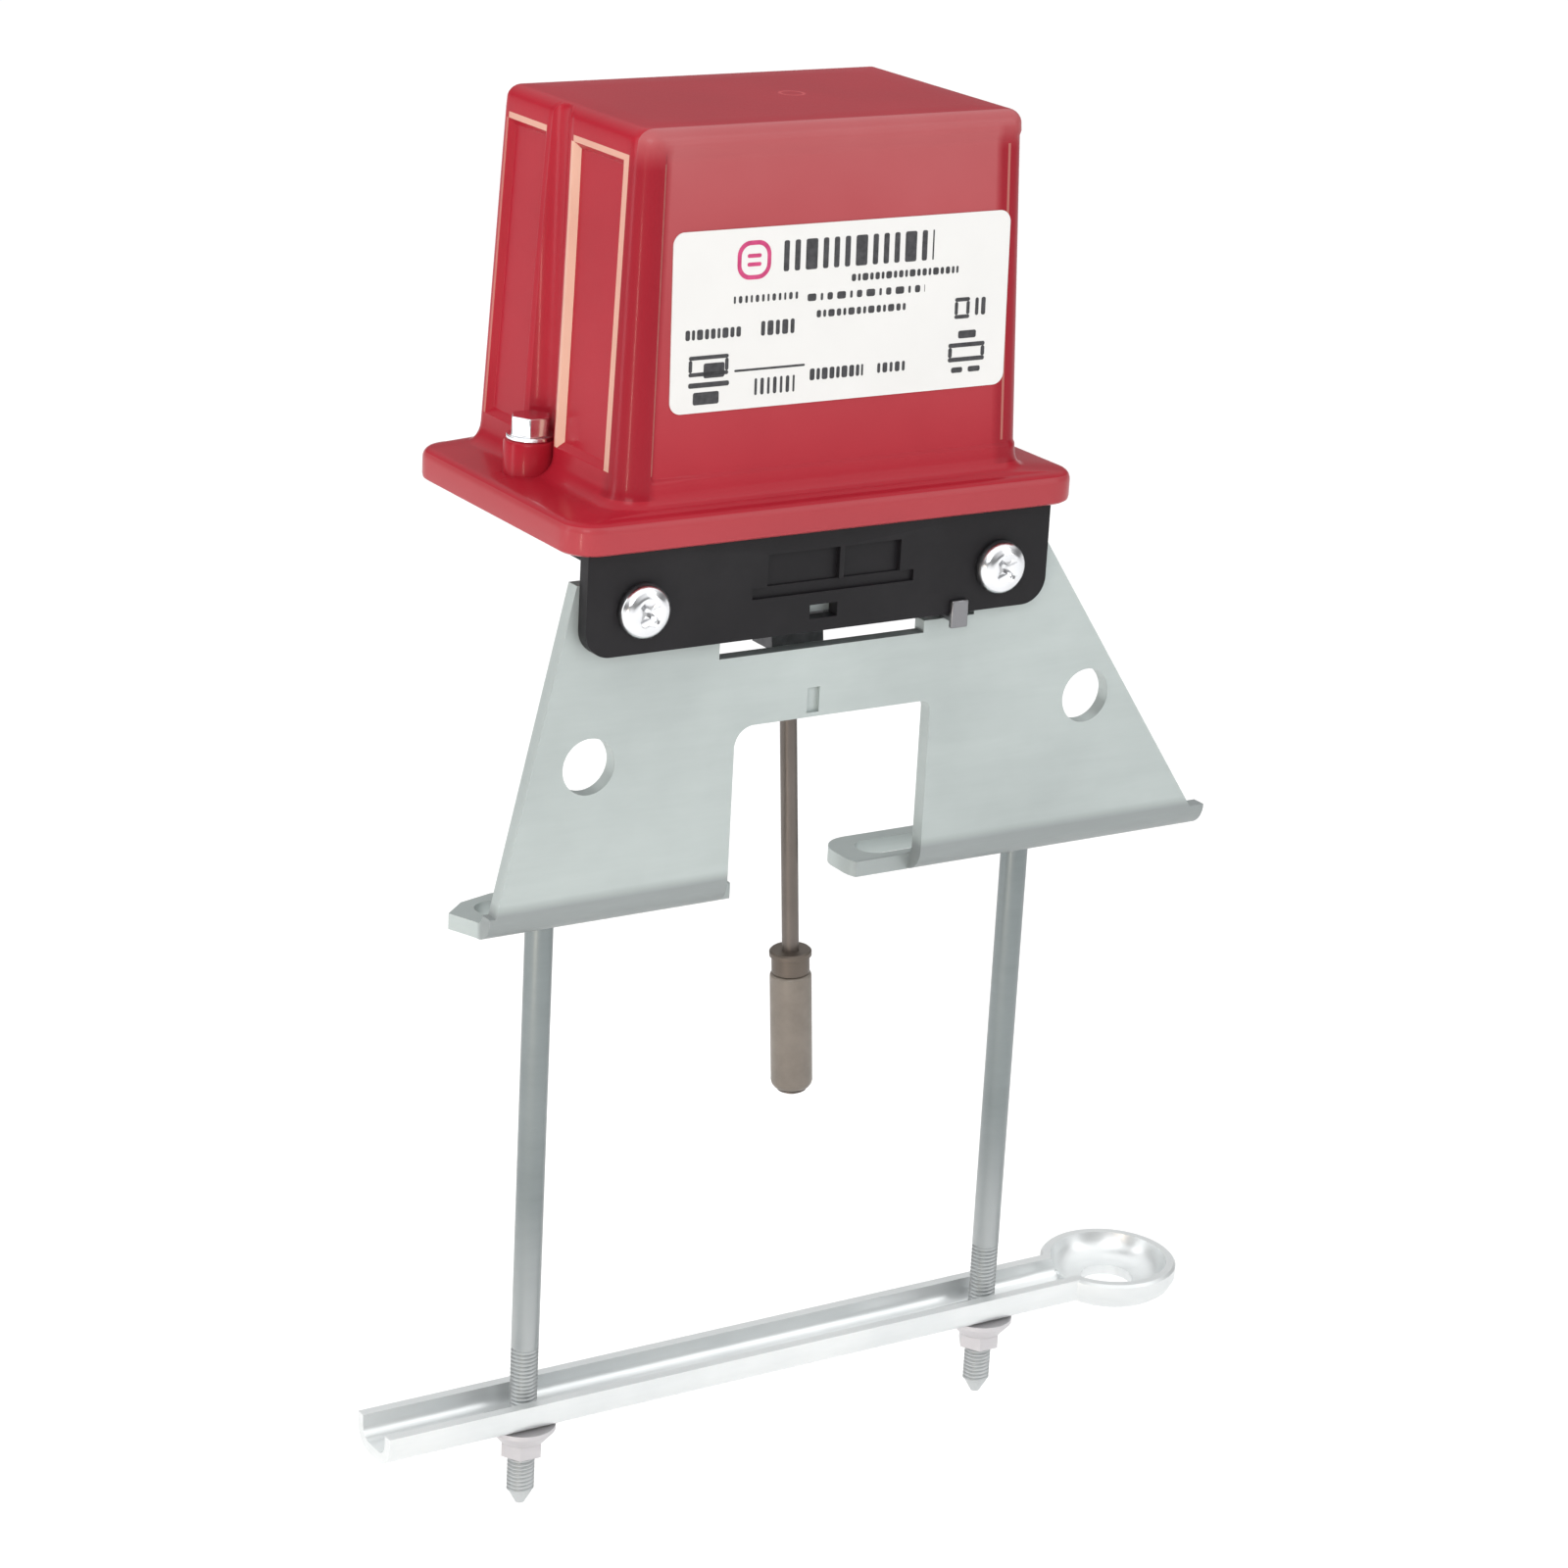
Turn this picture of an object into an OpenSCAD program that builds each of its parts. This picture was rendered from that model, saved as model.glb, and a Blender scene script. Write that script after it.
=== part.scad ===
// Supervisory switch for an outside-screw-and-yoke valve. All sizes in millimetres.
// +X runs along the bracket, +Y runs back from its face, +Z is up.
// The origin lies on the underside of the feet, on the bolt line, below the lever pivot.

/* [Bracket] */
// distance of the left foot's outer corner from the lever pivot
foot_left = 64; // [50:1:90]
// distance of the right foot's outer corner from the lever pivot
foot_right = 92.5; // [60:0.5:110]
// height of the bracket plate above the foot underside
plate_h = 64.5; // [55:0.5:85]
// half width of the plate at its top edge
plate_top_half = 49; // [40:1:60]
// sheet thickness of the bracket
sheet_t = 3; // [2:0.25:4]
// width of the notch that clears the valve stem
notch_w = 42; // [30:1:60]
// height of the notch
notch_h = 34.5; // [20:0.5:45]
// distance of the notch centre right of the lever pivot
notch_x = 5.5; // [-10:0.5:10]
// diameter of the two holes for hook bolts
hook_hole_d = 10.5; // [6:0.5:13]

/* [Yoke clamp] */
// diameter of the two long clamp bolts
bolt_d = 5.2; // [4:0.1:8]
// distance of the left bolt from the lever pivot
bolt_left_x = 48.6; // [40:0.1:58]
// distance of the right bolt from the lever pivot
bolt_right_x = 55.2; // [45:0.1:62]
// depth of the bolt tips below the feet
bolt_reach = 118; // [90:1:160]
// depth of the clamp bar's top edge below the feet
bar_depth = 95; // [70:1:130]
// width of the clamp bar
bar_w = 13; // [11:0.5:18]
// outside diameter of the ring at the bar's right end
ring_d = 27.6; // [20:0.2:32]

/* [Enclosure] */
// width of the cover's flange
flange_w = 106; // [90:1:130]
// depth of the cover's flange
flange_d = 62; // [50:1:80]
// height of the cover's body above its flange
body_h = 64.8; // [45:0.2:90]
// wall thickness of the castings
wall = 2.5; // [1.8:0.1:4]
// depth of the base's apron below the cover flange
apron_drop = 19.3; // [12:0.1:24]

/* [Trip lever] */
// drop of the lever pivot below the base's floor
pivot_drop = 4; // [3.5:0.1:6]
// lean of the trip rod at rest, in degrees
rod_lean = 4; // [0:0.5:6]
// diameter of the trip rod
rod_d = 3.2; // [2.5:0.1:4]
// diameter of the roller sleeve
sleeve_d = 7.9; // [6:0.1:12]
// length of the roller sleeve
sleeve_l = 23.4; // [15:0.2:40]
// distance from the pivot down to the sleeve's top end
sleeve_drop = 80.8; // [60:0.2:100]

/* [Hidden] */
$fn = 64;
far = 200;
run_gap = 0.05;          // radial gap of a running fit
slip_gap = 0.2;          // radial gap of a loose guide
skin_gap = 0.02;         // gap under a glued-on plate

// bracket
plate_front = -10;
plate_back = plate_front + sheet_t;
bend_in = 2;
bend_out = bend_in + sheet_t;
bend_y = plate_front + bend_out;
foot_back = 7;
foot_slot_w = 7;
tab_tip_x = notch_x + notch_w / 2 - 12.3;
tab_front = plate_front + 1;
tab_r = 6;
left_tip_x = notch_x - notch_w / 2 + 3.2;
left_slot = [-foot_left + 2.5, left_tip_x - 11.7];
right_slot = [tab_tip_x + 4.8, foot_right - 24.5];
neck_w = foot_slot_w - 0.5;
bolt_head_r = -bend_y - 0.1;
hook_left_x = notch_x - notch_w / 2 - 29.8;
hook_right_x = notch_x + notch_w / 2 + 35.3;
hook_z = 31;
window_x = [-19.5, 24];
window_step_x = 35;

// base casting
flange_front = -16;
floor_z = plate_h + 0.5;
floor_t = 3;
floor_top = floor_z + floor_t;
rim_top = floor_z + 9;
flange_z = floor_z + 6;
flange_top = flange_z + 7;
cover_top = flange_top + body_h;
pivot_z = floor_z - pivot_drop;
base_front = plate_front - 2.8;
base_half = flange_w / 2 - 4.5;
base_back = flange_front + flange_d - 3.2;
rim_t = 2.8;
rim_r = 6;
ledge_t = 2;
step_z = flange_z - 1.5;    // underside of the ledge, out of sight behind the cover's lip
pan_half = base_half - 7;
post_z = floor_z + 3;
apron_z = flange_z - apron_drop;
apron_r = 5;
window_z = [apron_z - 4, apron_z + 2.8];
window_step_z = apron_z - 1.7;
base_screw_x = 37.5;
base_screw_z = floor_z - 5.2;
base_screw_r = 2.4;
base_head_r = 5;
base_head_h = 3.2;
nut_h = 4;

// cover casting
flange_back = flange_front + flange_d;
flange_r = 6;
lip_t = 2.8;
gasket_t = 1.2;
ledge_z = rim_top + gasket_t;
body_bottom_half = flange_w / 2 - 11;
body_top_half = body_bottom_half - 2.7;
body_front_z0 = -11.5;
body_front_z1 = -9.4;
body_back_z0 = flange_back - 3.5;
body_back_z1 = body_back_z0 - 2.2;
shoulder_z = cover_top - 3;
body_r = 3.6;
lug_x = flange_w / 2 - 9.5;
lug_y = 18.5;
lug_r = 4.8;
lug_top = flange_top + 5.5;
channel_r = 5.2;
cover_screw_r = 2;

// trip lever
lever_half = 3.5;
lug_in = lever_half + 0.3;
lug_front = plate_back + 0.3;
lug_back = 7.3;
hub_r = 5.5;
pin_r = 2;
pin_front = lug_front;
pin_back = 12;
clip_y = 10.8;
clip_t = 0.8;
block_bottom = -15;
block_top = -3;
lock_z = -11;
lock_r = 2;
lock_end = 24;
cam_z = 13.5;
cam_r = 2.5;
cam_back = 29;
collar_l = 4.6;
collar_r = 3.6;
rod_top = -4.6;
rod_end = -sleeve_drop - sleeve_l - 0.2;

// switches
sw_x = 4.5;
sw_w = 15.9;
sw_t = 10.3;
sw_h = 27.8;
sw_z = floor_top + 1.5;
sw_front_y = 8;
spacer_t = 2;
sw_rear_y = sw_front_y + sw_t + spacer_t;
upright_y = sw_rear_y + sw_t;
upright_t = 1.2;
plunger_r = 1.5;
plunger_z = pivot_z + cam_z * cos(rod_lean);
plunger_tip = cam_r - cam_z * sin(rod_lean) + 0.14;
plunger_l = 7.8;
sw_hole_x = 17;
sw_hole_z = [sw_z + 5.3, sw_z + 25];
sw_screw_r = 1.45;
blade_z = [sw_z + 4, sw_z + 13.5, sw_z + 23];

knock_r = 11.1;
knock_x = pan_half - rim_t - knock_r - 0.6;
knock_y = 28;
ground_x = 32;
ground_y = -2;

// ---------- shared shapes ----------

// rectangle with round corners, from x0,y0 to x1,y1
module round_rect(x0, x1, y0, y1, r) {
    translate([x0 + r, y0])
        square([x1 - x0 - 2 * r, y1 - y0]);
    translate([x0, y0 + r])
        square([x1 - x0, y1 - y0 - 2 * r]);
    for (x = [x0 + r, x1 - r], y = [y0 + r, y1 - r])
        translate([x, y])
            circle(r);
}

// slot with round ends along X, from x0 to x1
module slot_2d(x0, x1, w) {
    translate([x0 + w / 2, -w / 2])
        square([x1 - x0 - w, w]);
    for (x = [x0 + w / 2, x1 - w / 2])
        translate([x, 0])
            circle(w / 2);
}

// upright slab standing between two Y planes; the outline is drawn in X and Z
module slab_y(y0, y1) {
    translate([0, y1, 0])
        rotate([90, 0, 0])
            linear_extrude(y1 - y0)
                children();
}

// cylinder along +Y, from y0 to y1
module rod_y(y0, y1, r) {
    translate([0, y0, 0])
        rotate([-90, 0, 0])
            cylinder(r = r, h = y1 - y0);
}

// cylinder along +X, from x0 to x1
module rod_x(x0, x1, r) {
    translate([x0, 0, 0])
        rotate([0, 90, 0])
            cylinder(r = r, h = x1 - x0);
}

// hexagonal nut or head along +Z
module hex(af, h) {
    cylinder(r = af / sqrt(3), h = h, $fn = 6);
}

// the lever's own frame, leaning at rest
module lever_frame() {
    translate([0, 0, pivot_z])
        rotate([0, -rod_lean, 0])
            children();
}

// ---------- bracket ----------

module plate_outline() {
    left_slope = (foot_left - plate_top_half) / plate_h;
    right_slope = (foot_right - plate_top_half) / plate_h;
    polygon([
        [-foot_left + left_slope * bend_out, bend_out],
        [foot_right - right_slope * bend_out, bend_out],
        [plate_top_half, plate_h],
        [-plate_top_half, plate_h]]);
}

module bend(x0, x1) {
    translate([x0, bend_y, bend_out])
        difference() {
            rod_x(0, x1 - x0, bend_out);
            rod_x(-1, x1 - x0 + 1, bend_in);
            translate([-1, 0, -far / 2])
                cube([x1 - x0 + 2, far, far]);
            translate([-1, -far / 2, 0])
                cube([x1 - x0 + 2, far, far]);
        }
}

module foot_outline() {
    polygon([[-foot_left, bend_y], [-foot_left - 2.5, 1], [-foot_left + 2, 5],
        [-foot_left + 9, foot_back], [left_tip_x - 3, foot_back], [left_tip_x - 3, bend_y]]);
    intersection() {
        round_rect(left_tip_x - 20, left_tip_x, tab_front, foot_back, 4);
        translate([notch_x - notch_w / 2, -far / 2])
            square([far, far]);
    }
    translate([left_tip_x - 8, bend_y])
        square([8 - 4, foot_back - bend_y]);
    polygon([[notch_x + notch_w / 2, bend_y], [foot_right, bend_y], [foot_right, 1],
        [foot_right - 8, foot_back], [notch_x + notch_w / 2, foot_back]]);
    intersection() {
        round_rect(tab_tip_x, tab_tip_x + 30, tab_front, foot_back, tab_r);
        translate([-far / 2, -far / 2])
            square([far / 2 + notch_x + notch_w / 2, far]);
    }
}

module bracket() {
    notch_l = notch_x - notch_w / 2;
    notch_r = notch_x + notch_w / 2;
    color([0.74, 0.77, 0.77])
        difference() {
            union() {
                slab_y(plate_front, plate_back)
                    plate_outline();
                bend(-foot_left, notch_l);
                bend(notch_r, foot_right);
                linear_extrude(sheet_t)
                    foot_outline();
            }
            // stem notch, its two upper corners rounded differently
            slab_y(plate_front - 1, plate_back + 1) {
                translate([notch_l, -1])
                    square([notch_w, notch_h - 4 + 1]);
                translate([notch_l + 4, -1])
                    square([notch_w - 6, notch_h + 1]);
                translate([notch_l + 4, notch_h - 4])
                    circle(4);
                translate([notch_r - 2, notch_h - 2])
                    circle(2);
                translate([notch_r - 10, notch_h - 5])
                    square([10, 3]);
            }
            // lever window with its raised right end
            slab_y(plate_front - 1, plate_back + 1) {
                translate([window_x[0], window_z[0]])
                    square([window_x[1] - window_x[0], window_z[1] - window_z[0]]);
                translate([window_x[1] - 1, window_step_z])
                    square([window_step_x - window_x[1] + 1, window_z[1] - window_step_z]);
            }
            // hook bolt holes and base screw holes
            for (x = [hook_left_x, hook_right_x])
                translate([x, 0, hook_z])
                    rod_y(plate_front - 1, plate_back + 1, hook_hole_d / 2);
            for (x = [-base_screw_x, base_screw_x])
                translate([x, 0, base_screw_z])
                    rod_y(plate_front - 1, plate_back + 1, base_screw_r + slip_gap);
            // centre mark pressed into the face above the notch
            translate([-0.5, plate_front - 1, notch_h + 0.8])
                cube([2.6, 1 + 0.8, 4.8]);
            // clamp bolt slots
            translate([0, 0, -1])
                linear_extrude(sheet_t + 2) {
                    slot_2d(left_slot[0], left_slot[1], foot_slot_w);
                    slot_2d(right_slot[0], right_slot[1], foot_slot_w);
                }
        }
}

// ---------- base casting ----------

module lever_lug(y0, y1) {
    translate([0, 0, pivot_z])
        rod_y(y0, y1, hub_r);
    translate([-hub_r, y0, pivot_z])
        cube([2 * hub_r, y1 - y0, floor_z + 1 - pivot_z]);
}

module base() {
    color([0.19, 0.18, 0.2])
        difference() {
            union() {
                difference() {
                    union() {
                        translate([0, 0, floor_z])
                            linear_extrude(step_z + ledge_t - floor_z)
                                round_rect(-pan_half, pan_half, base_front, base_back, rim_r);
                        translate([0, 0, step_z])
                            linear_extrude(rim_top - step_z)
                                round_rect(-base_half, base_half, base_front, base_back, rim_r);
                    }
                    translate([0, 0, floor_top])
                        linear_extrude(far)
                            round_rect(-pan_half + rim_t, pan_half - rim_t, base_front + rim_t,
                                base_back - rim_t, rim_r - rim_t);
                    translate([0, 0, step_z + ledge_t])
                        linear_extrude(far)
                            round_rect(-base_half + rim_t, base_half - rim_t, base_front + rim_t,
                                base_back - rim_t, rim_r - rim_t);
                }
                // apron in front of the bracket
                slab_y(base_front, plate_front) {
                    round_rect(-base_half, base_half, apron_z, floor_z, apron_r);
                    translate([-base_half, floor_z - 8])
                        square([2 * base_half, step_z + 1 - (floor_z - 8)]);
                }
                // threaded posts for the cover screws
                for (x = [-lug_x, lug_x])
                    translate([x, lug_y, post_z])
                        cylinder(r = 4.5, h = rim_top - post_z);
                // earth screw post
                translate([ground_x, ground_y, floor_top - 0.5])
                    cylinder(r = 4.2, h = 2.5);
                lever_lug(lug_front, -lug_in);
                lever_lug(lug_in, lug_back);
            }
            // lever slot, pivot bore
            translate([-6.5, -lug_in, floor_z - 1])
                cube([13, 2 * lug_in, floor_t + 2]);
            translate([0, 0, pivot_z])
                rod_y(lug_front - 1, lug_back + 1, pin_r + 0.02);
            // conduit knockouts
            for (x = [-knock_x, knock_x])
                translate([x, knock_y, floor_z - 1])
                    cylinder(r = knock_r, h = floor_t + 2);
            // screw holes
            for (x = [-base_screw_x, base_screw_x])
                translate([x, 0, base_screw_z])
                    rod_y(base_front - 1, plate_front + 1, base_screw_r + slip_gap);
            for (x = [-lug_x, lug_x])
                translate([x, lug_y, post_z + 1])
                    cylinder(r = cover_screw_r + run_gap, h = far);
            translate([ground_x, ground_y, floor_z + 1])
                cylinder(r = 2 + 0.02, h = far);
            for (x = [6.5, 14.5])
                translate([x, upright_y + 5.4, floor_z - 1])
                    cylinder(r = 1.5 + 0.02, h = floor_t + 2);
            // shallow pockets and a sight slot in the apron
            translate([-12, base_front - 1, floor_z - 4])
                cube([15, 1 + 1.1, 6]);
            translate([4, base_front - 1, floor_z - 4])
                cube([12, 1 + 1.1, 6]);
            translate([-15, base_front - 1, floor_z - 6])
                cube([34, 1 + 0.7, 2.1]);
            translate([-2.8, base_front - 1, apron_z + 2.4])
                cube([5.8, plate_front - base_front + 2, 2.6]);
        }
}

module knockout(x) {
    color([0.19, 0.18, 0.2])
        translate([x, knock_y, floor_z + 0.6]) {
            cylinder(r = knock_r - 0.02, h = 1.6);
            cylinder(r = knock_r - 3, h = 2.1);
        }
}

module knockout_left() {
    knockout(-knock_x);
}

module knockout_right() {
    knockout(knock_x);
}

module base_screw(x) {
    color([0.84, 0.85, 0.86])
        translate([x, 0, base_screw_z])
            difference() {
                union() {
                    rod_y(base_front, plate_back + nut_h + 1.5, base_screw_r);
                    translate([0, base_front, 0])
                        rotate([90, 0, 0])
                            rotate_extrude()
                                polygon([[0, 0], [base_head_r, 0], [base_head_r, 1.5],
                                    [base_head_r - 0.7, 2.5], [base_head_r - 2, base_head_h],
                                    [0, base_head_h]]);
                }
                // cross recess
                for (turn = [0, 90])
                    translate([0, base_front - base_head_h - 1, 0])
                        rotate([0, 45 + turn, 0])
                            translate([-0.55, 0, -2.4])
                                cube([1.1, 1 + 1.8, 4.8]);
            }
}

module base_screw_left() {
    base_screw(-base_screw_x);
}

module base_screw_right() {
    base_screw(base_screw_x);
}

module base_nuts() {
    color([0.72, 0.74, 0.74])
        for (x = [-base_screw_x, base_screw_x])
            translate([x, plate_back, base_screw_z])
                rotate([-90, 0, 0])
                    difference() {
                        hex(8, nut_h);
                        translate([0, 0, -1])
                            cylinder(r = base_screw_r + 0.02, h = nut_h + 2);
                    }
}

module anchor_clip() {
    color([0.66, 0.68, 0.68]) {
        translate([27.4, base_front - 1, apron_z - 2.6])
            cube([3.6, 1, 5.2]);
        translate([27.4, base_front - 1, apron_z - 1.4])
            cube([3.6, plate_back - base_front + 0.6, 1]);
    }
}

// ---------- cover casting ----------

module corner_discs(half, y0, y1, r, z, h) {
    for (x = [-half + r, half - r], y = [y0 + r, y1 - r])
        translate([x, y, z])
            cylinder(r = r, h = h, $fn = 32);
}

module cover() {
    color([0.72, 0.2, 0.24])
        difference() {
            union() {
                // flange with a rounded lip, rising a little to the body
                hull() {
                    corner_discs(flange_w / 2, flange_front, flange_back, flange_r, flange_z, 4.4);
                    corner_discs(flange_w / 2 - 0.8, flange_front + 0.8, flange_back - 0.8,
                        flange_r - 0.8, flange_z + 4.4, 1.4);
                    corner_discs(flange_w / 2 - 2.6, flange_front + 2.6, flange_back - 2.6,
                        flange_r - 2.6, flange_z, 6.6);
                    corner_discs(flange_w / 2 - 9, body_front_z0 - 0.6, body_back_z0 + 0.4,
                        body_r, flange_z, 7.4);
                }
                // tapered body with a rounded top edge
                hull() {
                    corner_discs(body_bottom_half, body_front_z0, body_back_z0, body_r + 1,
                        flange_top - 1, 1);
                    corner_discs(body_top_half, body_front_z1, body_back_z1, body_r,
                        shoulder_z - 0.5, 0.5);
                    corner_discs(body_top_half - 0.9, body_front_z1 + 0.9, body_back_z1 - 0.9,
                        body_r - 0.9, cover_top - 1.2, 0.3);
                    corner_discs(body_top_half - 3, body_front_z1 + 3, body_back_z1 - 3,
                        body_r - 3, cover_top - 0.1, 0.1);
                }
            }
            // hollow inside, kept off the two screw channels
            difference() {
                hull() {
                    corner_discs(body_bottom_half - wall, body_front_z0 + wall,
                        body_back_z0 - wall, body_r - 1.5, flange_z - 1, 1);
                    corner_discs(body_bottom_half - wall, body_front_z0 + wall,
                        body_back_z0 - wall, body_r - 1.5, flange_top, 0.1);
                    corner_discs(body_top_half - wall, body_front_z1 + wall,
                        body_back_z1 - wall, body_r - 2, cover_top - wall - 1, 1);
                }
                for (x = [-lug_x, lug_x])
                    translate([x, lug_y, ledge_z])
                        cylinder(r = channel_r + wall, h = far);
            }
            // room for the base rim inside the flange
            translate([0, 0, flange_z - 1])
                linear_extrude(ledge_z - flange_z + 1)
                    round_rect(-base_half - 0.5, base_half + 0.5, base_front - 0.4,
                        base_back + 0.4, rim_r + 0.4);
            // screw channels in the end walls, open to the top, round the screw lugs
            for (x = [-lug_x, lug_x])
                difference() {
                    translate([x, lug_y, lug_top])
                        cylinder(r = channel_r, h = far);
                }
            for (x = [-lug_x, lug_x])
                translate([x, lug_y, 0])
                    difference() {
                        translate([0, 0, flange_top + 0.4])
                            cylinder(r = channel_r, h = far);
                        cylinder(r = lug_r, h = lug_top);
                    }
            // screw holes
            for (x = [-lug_x, lug_x])
                translate([x, lug_y, 0])
                    cylinder(r = cover_screw_r + slip_gap, h = far);
        }
}

module cover_label() {
    lean = atan((body_front_z1 - body_front_z0) / (shoulder_z - flange_top));
    color([0.93, 0.93, 0.91])
        translate([2.1, body_front_z0, flange_top])
            rotate([-lean, 0, 0])
                slab_y(-skin_gap - 0.3, -skin_gap)
                    round_rect(-34.8, 34.8, 15.6, 47.2, 2.2);
}

module cover_gasket() {
    color([0.12, 0.12, 0.12])
        difference() {
            translate([0, 0, rim_top])
                linear_extrude(gasket_t)
                    round_rect(-base_half, base_half, base_front, base_back, rim_r);
            translate([0, 0, rim_top - 1])
                linear_extrude(gasket_t + 2)
                    round_rect(-base_half + rim_t, base_half - rim_t, base_front + rim_t,
                        base_back - rim_t, rim_r - rim_t);
            for (x = [-lug_x, lug_x])
                translate([x, lug_y, rim_top - 1])
                    cylinder(r = 3.2, h = gasket_t + 2);
        }
}

module cover_screw(x) {
    color([0.84, 0.85, 0.86])
        translate([x, lug_y, lug_top]) {
            cylinder(r = 4.3, h = 0.8);
            hex(6.6, 4.2);
            translate([0, 0, post_z + 1.5 - lug_top])
                cylinder(r = cover_screw_r, h = lug_top - post_z - 1.5);
        }
}

module cover_screw_left() {
    cover_screw(-lug_x);
}

module cover_screw_right() {
    cover_screw(lug_x);
}

// ---------- trip lever ----------

module pivot_pin() {
    color([0.78, 0.79, 0.8])
        translate([0, 0, pivot_z]) {
            rod_y(pin_front, clip_y - 0.1, pin_r);
            rod_y(pin_front, pin_back, pin_r - 0.35);
            rod_y(clip_y + clip_t + 0.1, pin_back, pin_r);
        }
}

module pivot_clip() {
    color([0.35, 0.35, 0.36])
        translate([0, 0, pivot_z])
            difference() {
                rod_y(clip_y, clip_y + clip_t, 3.9);
                rod_y(clip_y - 1, clip_y + clip_t + 1, pin_r - 0.33);
                translate([-1.3, clip_y - 1, -6])
                    cube([2.6, clip_t + 2, 6]);
            }
}

module return_spring() {
    coil_r = 2.8;
    wire_r = 0.45;
    pitch = 0.85;
    coil_y = lug_back + wire_r + 0.02;
    color([0.7, 0.71, 0.72])
        translate([0, 0, pivot_z]) {
            // closely wound coil, its turns touching
            translate([0, coil_y, 0])
                rotate([-90, 0, 0])
                    rotate_extrude()
                        for (turn = [0:2])
                            translate([coil_r, turn * pitch])
                                circle(wire_r);
            // one end reaches down beside the lever, the other up to the base
            translate([coil_r + 0.1, coil_y + 2 * pitch, -12])
                cylinder(r = wire_r - 0.07, h = 12);
            translate([-coil_r - 0.1, coil_y, 0])
                cylinder(r = wire_r - 0.07, h = floor_z - pivot_z - 0.05);
        }
}

module trip_lever() {
    color([0.3, 0.3, 0.31])
        lever_frame()
            difference() {
                union() {
                    rod_y(-lever_half, lever_half, hub_r);
                    translate([-5.5, -lever_half, block_bottom])
                        cube([11, 2 * lever_half, -block_bottom]);
                    translate([-2.5, -lever_half, 0])
                        cube([5, 2 * lever_half, cam_z]);
                    translate([0, 0, cam_z])
                        rod_y(-lever_half, lever_half, 4);
                }
                rod_y(-lever_half - 1, lever_half + 1, pin_r + run_gap);
                translate([0, 0, cam_z])
                    rod_y(-lever_half - 1, lever_half + 1, cam_r + 0.02);
                translate([0, 0, block_bottom - 1])
                    cylinder(r = rod_d / 2 + run_gap, h = 1 + rod_top + 0.6 - block_bottom);
                translate([0, 0, lock_z])
                    rod_x(0, 6.5, lock_r + run_gap);
            }
}

module trip_cam() {
    color([0.78, 0.79, 0.8])
        lever_frame()
            translate([0, 0, cam_z])
                rod_y(-lever_half, cam_back, cam_r);
}

module locking_screw() {
    color([0.6, 0.61, 0.62])
        lever_frame()
            translate([0, 0, lock_z])
                difference() {
                    union() {
                        rod_x(rod_d / 2 + 0.1, lock_end, lock_r);
                        translate([lock_end - 4, 0, 0])
                            rotate([0, 90, 0])
                                hex(5.5, 4);
                    }
                    translate([lock_end - 1, -0.4, -2.2])
                        cube([2, 0.8, 4.4]);
                }
}

module trip_rod() {
    color([0.6, 0.57, 0.53])
        lever_frame() {
            translate([0, 0, rod_end])
                cylinder(r = rod_d / 2, h = rod_top - rod_end);
            translate([0, 0, rod_end - 1])
                cylinder(r1 = 1.6, r2 = 2.8, h = 1);
        }
}

module sleeve_collar() {
    color([0.55, 0.52, 0.47])
        lever_frame()
            translate([0, 0, -sleeve_drop + 0.1])
                difference() {
                    union() {
                        cylinder(r = collar_r, h = collar_l);
                        translate([0, 0, collar_l - 1.2])
                            cylinder(r = collar_r + 0.4, h = 1.2);
                    }
                    translate([0, 0, -1])
                        cylinder(r = rod_d / 2 + 0.02, h = collar_l + 2);
                }
}

module rod_sleeve() {
    color([0.73, 0.68, 0.62])
        lever_frame()
            translate([0, 0, -sleeve_drop - sleeve_l])
                difference() {
                    rotate_extrude()
                        polygon([[0, 0], [sleeve_d / 2 - 0.8, 0], [sleeve_d / 2, 0.8],
                            [sleeve_d / 2, sleeve_l - 0.4], [sleeve_d / 2 - 0.4, sleeve_l],
                            [0, sleeve_l]]);
                    translate([0, 0, -1])
                        cylinder(r = rod_d / 2 + run_gap, h = sleeve_l + 2);
                }
}

// ---------- snap switches ----------

module switch_body(y) {
    color([0.16, 0.16, 0.17])
        difference() {
            translate([sw_x, y, sw_z])
                cube([sw_w, sw_t, sw_h]);
            translate([0, y + sw_t / 2, plunger_z])
                rod_x(sw_x - 1, sw_x + 7.5, plunger_r + run_gap);
            for (z = sw_hole_z)
                translate([sw_hole_x, 0, z])
                    rod_y(y - 1, y + sw_t + 1, sw_screw_r + 0.1);
            // joint line of the case
            translate([sw_x - 1, y + sw_t / 2 - 0.2, sw_z + 16])
                cube([1.3, 0.4, 9]);
        }
}

module switch_front() {
    switch_body(sw_front_y);
}

module switch_rear() {
    switch_body(sw_rear_y);
}

module plunger(y) {
    color([0.7, 0.12, 0.12])
        translate([plunger_tip, y + sw_t / 2, plunger_z])
            rotate([0, 90, 0])
                cylinder(r = plunger_r, h = plunger_l);
}

module plunger_front() {
    plunger(sw_front_y);
}

module plunger_rear() {
    plunger(sw_rear_y);
}

module switch_spacer() {
    color([0.55, 0.45, 0.3])
        difference() {
            translate([sw_x, sw_front_y + sw_t, sw_z])
                cube([sw_w, spacer_t, sw_h + 2]);
            for (z = sw_hole_z)
                translate([sw_hole_x, 0, z])
                    rod_y(sw_front_y, sw_rear_y + 1, sw_screw_r + 0.1);
        }
}

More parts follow.
